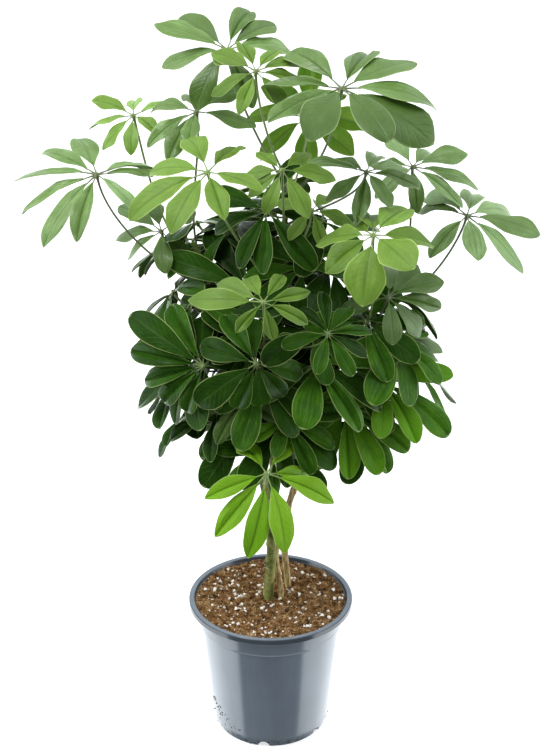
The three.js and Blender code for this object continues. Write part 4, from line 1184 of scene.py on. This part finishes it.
def inner_leaf(run, i):
    """A leaf of an inner run, before its leaflets find room."""
    count = dice.randint(*INNER_LEAFLETS)
    first = vary(0, 360)
    leaf = run_leaf(run, i, bearing=run["bearing"] + GOLDEN_ANGLE * i)
    leaf["reach"] = vary(*INNER_REACH)
    leaf["rise"] = vary(*INNER_RISE)
    leaf["tilt"] = vary(*INNER_TILT)
    leaf["wide"] = vary(*INNER_WIDTH)
    leaf["leaflets"] = []
    for k in range(count):
        turn = first + 360 / count * k + vary(*INNER_TURN)
        leaf["leaflets"].append((turn, vary(*INNER_LENGTH), vary(*INNER_DROOP)))
    return leaf


def stalk_has_room(leaf):
    line, _ = stalk_line(leaf)
    near = STALK_ROOM * MM
    places = [on_stalk(line, k / STALK_LOOKS) * MM for k in range(2, STALK_LOOKS + 1)]
    return not any(tree.find_nearest(place, near)[0] for tree in crowd for place in places)


def blade_with_room(leaf, leaflet):
    """The leaflet's blade at the first bend where it cuts through nothing, inside the box."""
    turn, length, droop = leaflet
    low, high = solid_box
    for shorter in BEND_LENGTHS:
        for more in BEND_DROOPS[:5]:
            for swing in BEND_SWINGS[:3]:
                bend = (turn + swing, length * shorter, droop + more)
                tried, keel = shaped_blade(leaf, bend)
                corners = [v.co for v in tried.data.vertices]
                inside = all(low[k] < co[k] < high[k] for co in corners for k in range(3))
                tree = surface_tree(tried)
                if inside and not any(tree.overlap(other) for other in crowd):
                    crowd.append(tree)
                    return bend, tried, keel
                bpy.data.objects.remove(tried)
    return None


for run in INNER_RUNS:
    blades, splines = [], []
    for i in range(run["count"]):
        draft = inner_leaf(run, i)
        ways = [(degrees, bow) for degrees in RUN_SWINGS for bow in STALK_BOWS[:3]]
        stands = [{**swung(draft, degrees), "bow": bow} for degrees, bow in ways]
        leaf = next((stand for stand in stands if stalk_has_room(stand)), None)
        if leaf is None:
            continue
        found = [blade_with_room(leaf, leaflet) for leaflet in leaf["leaflets"]]
        found = [one for one in found if one]
        if len(found) < FEWEST_LEAFLETS:
            for _, tried, _ in found:
                bpy.data.objects.remove(tried)
            continue
        bends, tried, keels = zip(*found)
        blades += tried
        splines += stalk_splines({**leaf, "leaflets": bends}, keels)
    inner = umbrella_of("inner_leaves_" + run["stem"], blades, splines, leaf_looks["old"])
bpy.data.objects.remove(blade)


# Splashes. Watering has thrown crumbs of the mix against the pot's foot, most of them low on its
# left, where they dried and stuck.
SPLASHES = [
    {"specks": 44, "from": (-159, 45), "to": (-126, 15), "spread": (3, 4)},
    {"specks": 70, "from": (-180, 3), "to": (180, 3), "spread": (0, 2)},
    {"specks": 22, "from": (-180, 20), "to": (180, 20), "spread": (0, 9)},
]
SPECK_RADII = (0.35, 1.25)
LOWEST_SPECK = 1.5
OUTSIDE_POT = 200
SMALLEST_WALL = 60
speck_stands = []
for splash in SPLASHES:
    for _ in range(splash["specks"]):
        share = dice.random()
        turn, height = (
            start + (end - start) * share + dice.gauss(0, spread)
            for start, end, spread in zip(splash["from"], splash["to"], splash["spread"])
        )
        away = level_way(turn)
        start = away * OUTSIDE_POT * MM + Vector((0, 0, max(height, LOWEST_SPECK) * MM))
        found, place, facing, _ = pot.ray_cast(start, -away)
        radius = sized(*SPECK_RADII, skew=1.6)
        if found and place.xy.length > SMALLEST_WALL * MM:
            sizes = (radius, radius * vary(0.5, 0.9), radius * vary(0.4, 0.7))
            speck_stands.append(turned(place, facing, sizes, sink=0.25))
specks = scatter("soil_specks", 0.4, speck_stands)
dried = Finish("dried_peat", {"Specular IOR Level": 0.2})
dust = dried.noise(700, 3)
brown = dried.mix(dried.step(dust, 0.4, 0.65), "1a140e", "4d3c2a")
specks.data.materials.append(dried.show(brown, 0.8 + dust * 0.2, dust, 0.6, 0.0004))
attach(specks, "root")


# Studio. A plain pale floor under soft light from all round, and the camera where the photographer
# stood: in front of the plant and above it, looking down by about 24 degrees.
FLOOR_SIZE = 60
PAPER = {
    "Base Color": (0.7, 0.7, 0.7),
    "Roughness": 0.8,
    "Emission Color": (1, 1, 1),
    "Emission Strength": 0.6,
}
select_only()
bpy.ops.mesh.primitive_plane_add(size=FLOOR_SIZE, location=(0, 0, 0))
floor = bpy.context.object
floor.name = "floor"
floor.visible_glossy = False
floor.visible_diffuse = False
floor.data.materials.append(Finish("floor_paper", PAPER).material)

# Each light has two strengths: the first for dull surfaces, the second for reflections.
SIDE_LIGHT = (1.9, 1.3)
NEAR_SIDE_LIGHT = (3.0, 3.3)
BACK_LIGHT = (0.9, 0.8)
FRONT_LIGHT = (0.15, 0.09)
TOP_LIGHT = (1.8, 0.9)
LOW_BACK_LIGHT = 2.6
LOW_SIDE_LIGHT = 3.4
LOW_NEAR_SIDE_SHARE = 1.15
FLOOR_LIGHT = 0.6
LIGHT_TINT = (0.93, 0.97, 1.0)
BACKDROP = (1.0, 1.0, 1.0)
world = bpy.data.worlds.new("studio")
world.use_nodes = True
studio = Nodes(world.node_tree)
toward = studio.node("TexCoord", {}, {}, "Generated")
x, y, z = (studio.part(toward, axis) for axis in "XYZ")
ahead = y * -1 / (x * x + y * y + 0.0001) ** 0.5
opening = studio.step(ahead, 0.46, 0.56)
nearer = studio.step(ahead, -0.3, 0.45)
behind = studio.step(ahead * -1, 0.4, 0.95)
ceiling = studio.step(z, 0.55, 0.9)
gloss = studio.node("LightPath", {}, {}, "Is Glossy Ray")
lights = (SIDE_LIGHT, NEAR_SIDE_LIGHT, BACK_LIGHT, FRONT_LIGHT, TOP_LIGHT)
side, near_side, back, front, top = (studio.blend(gloss, *light) for light in lights)
sides = studio.blend(opening, studio.blend(nearer, side, near_side), front)
upper = studio.blend(ceiling, studio.blend(behind, sides, back), top)
low_sides = studio.blend(nearer, LOW_SIDE_LIGHT, near_side * LOW_NEAR_SIDE_SHARE)
low_sides = studio.blend(opening, low_sides, FRONT_LIGHT[0])
low_walls = studio.blend(behind, low_sides, LOW_BACK_LIGHT) * studio.step(z, -0.9, -0.65)
lower = studio.blend(gloss, FLOOR_LIGHT, low_walls)
glow = studio.blend(studio.step(z, -0.02, 0.02), lower, upper)
seen = studio.node("LightPath", {}, {}, "Is Camera Ray")
shine = world.node_tree.nodes["Background"]
feed(shine.inputs["Color"], studio.mix(seen, LIGHT_TINT, BACKDROP))
feed(shine.inputs["Strength"], studio.blend(seen, glow, 1.0))
bpy.context.scene.world = world

LAMP_PLACE = (-0.9, -0.7, 2.4)
LAMP_AIM = (0, 0, 0.5)
LAMP_POWER = 20
LAMP_SIZE = 0.8
bpy.ops.object.light_add(type="AREA", location=LAMP_PLACE)
lamp = bpy.context.object
lamp.name = "key_light"
lamp.data.energy = LAMP_POWER
lamp.data.size = LAMP_SIZE
lamp.rotation_euler = (Vector(LAMP_AIM) - lamp.location).to_track_quat("-Z", "Y").to_euler()

CAMERA_PLACE = (0.005, -1.596, 1.165)
CAMERA_DOWN = 24.16
CAMERA_LENS = 77.1
CAMERA_SENSOR = 36
looking = (radians(90 - CAMERA_DOWN), 0, 0)
bpy.ops.object.camera_add(location=CAMERA_PLACE, rotation=looking)
camera = bpy.context.object
camera.data.lens = CAMERA_LENS
camera.data.sensor_width = CAMERA_SENSOR
bpy.context.scene.camera = camera
bpy.context.scene.view_settings.view_transform = "Standard"
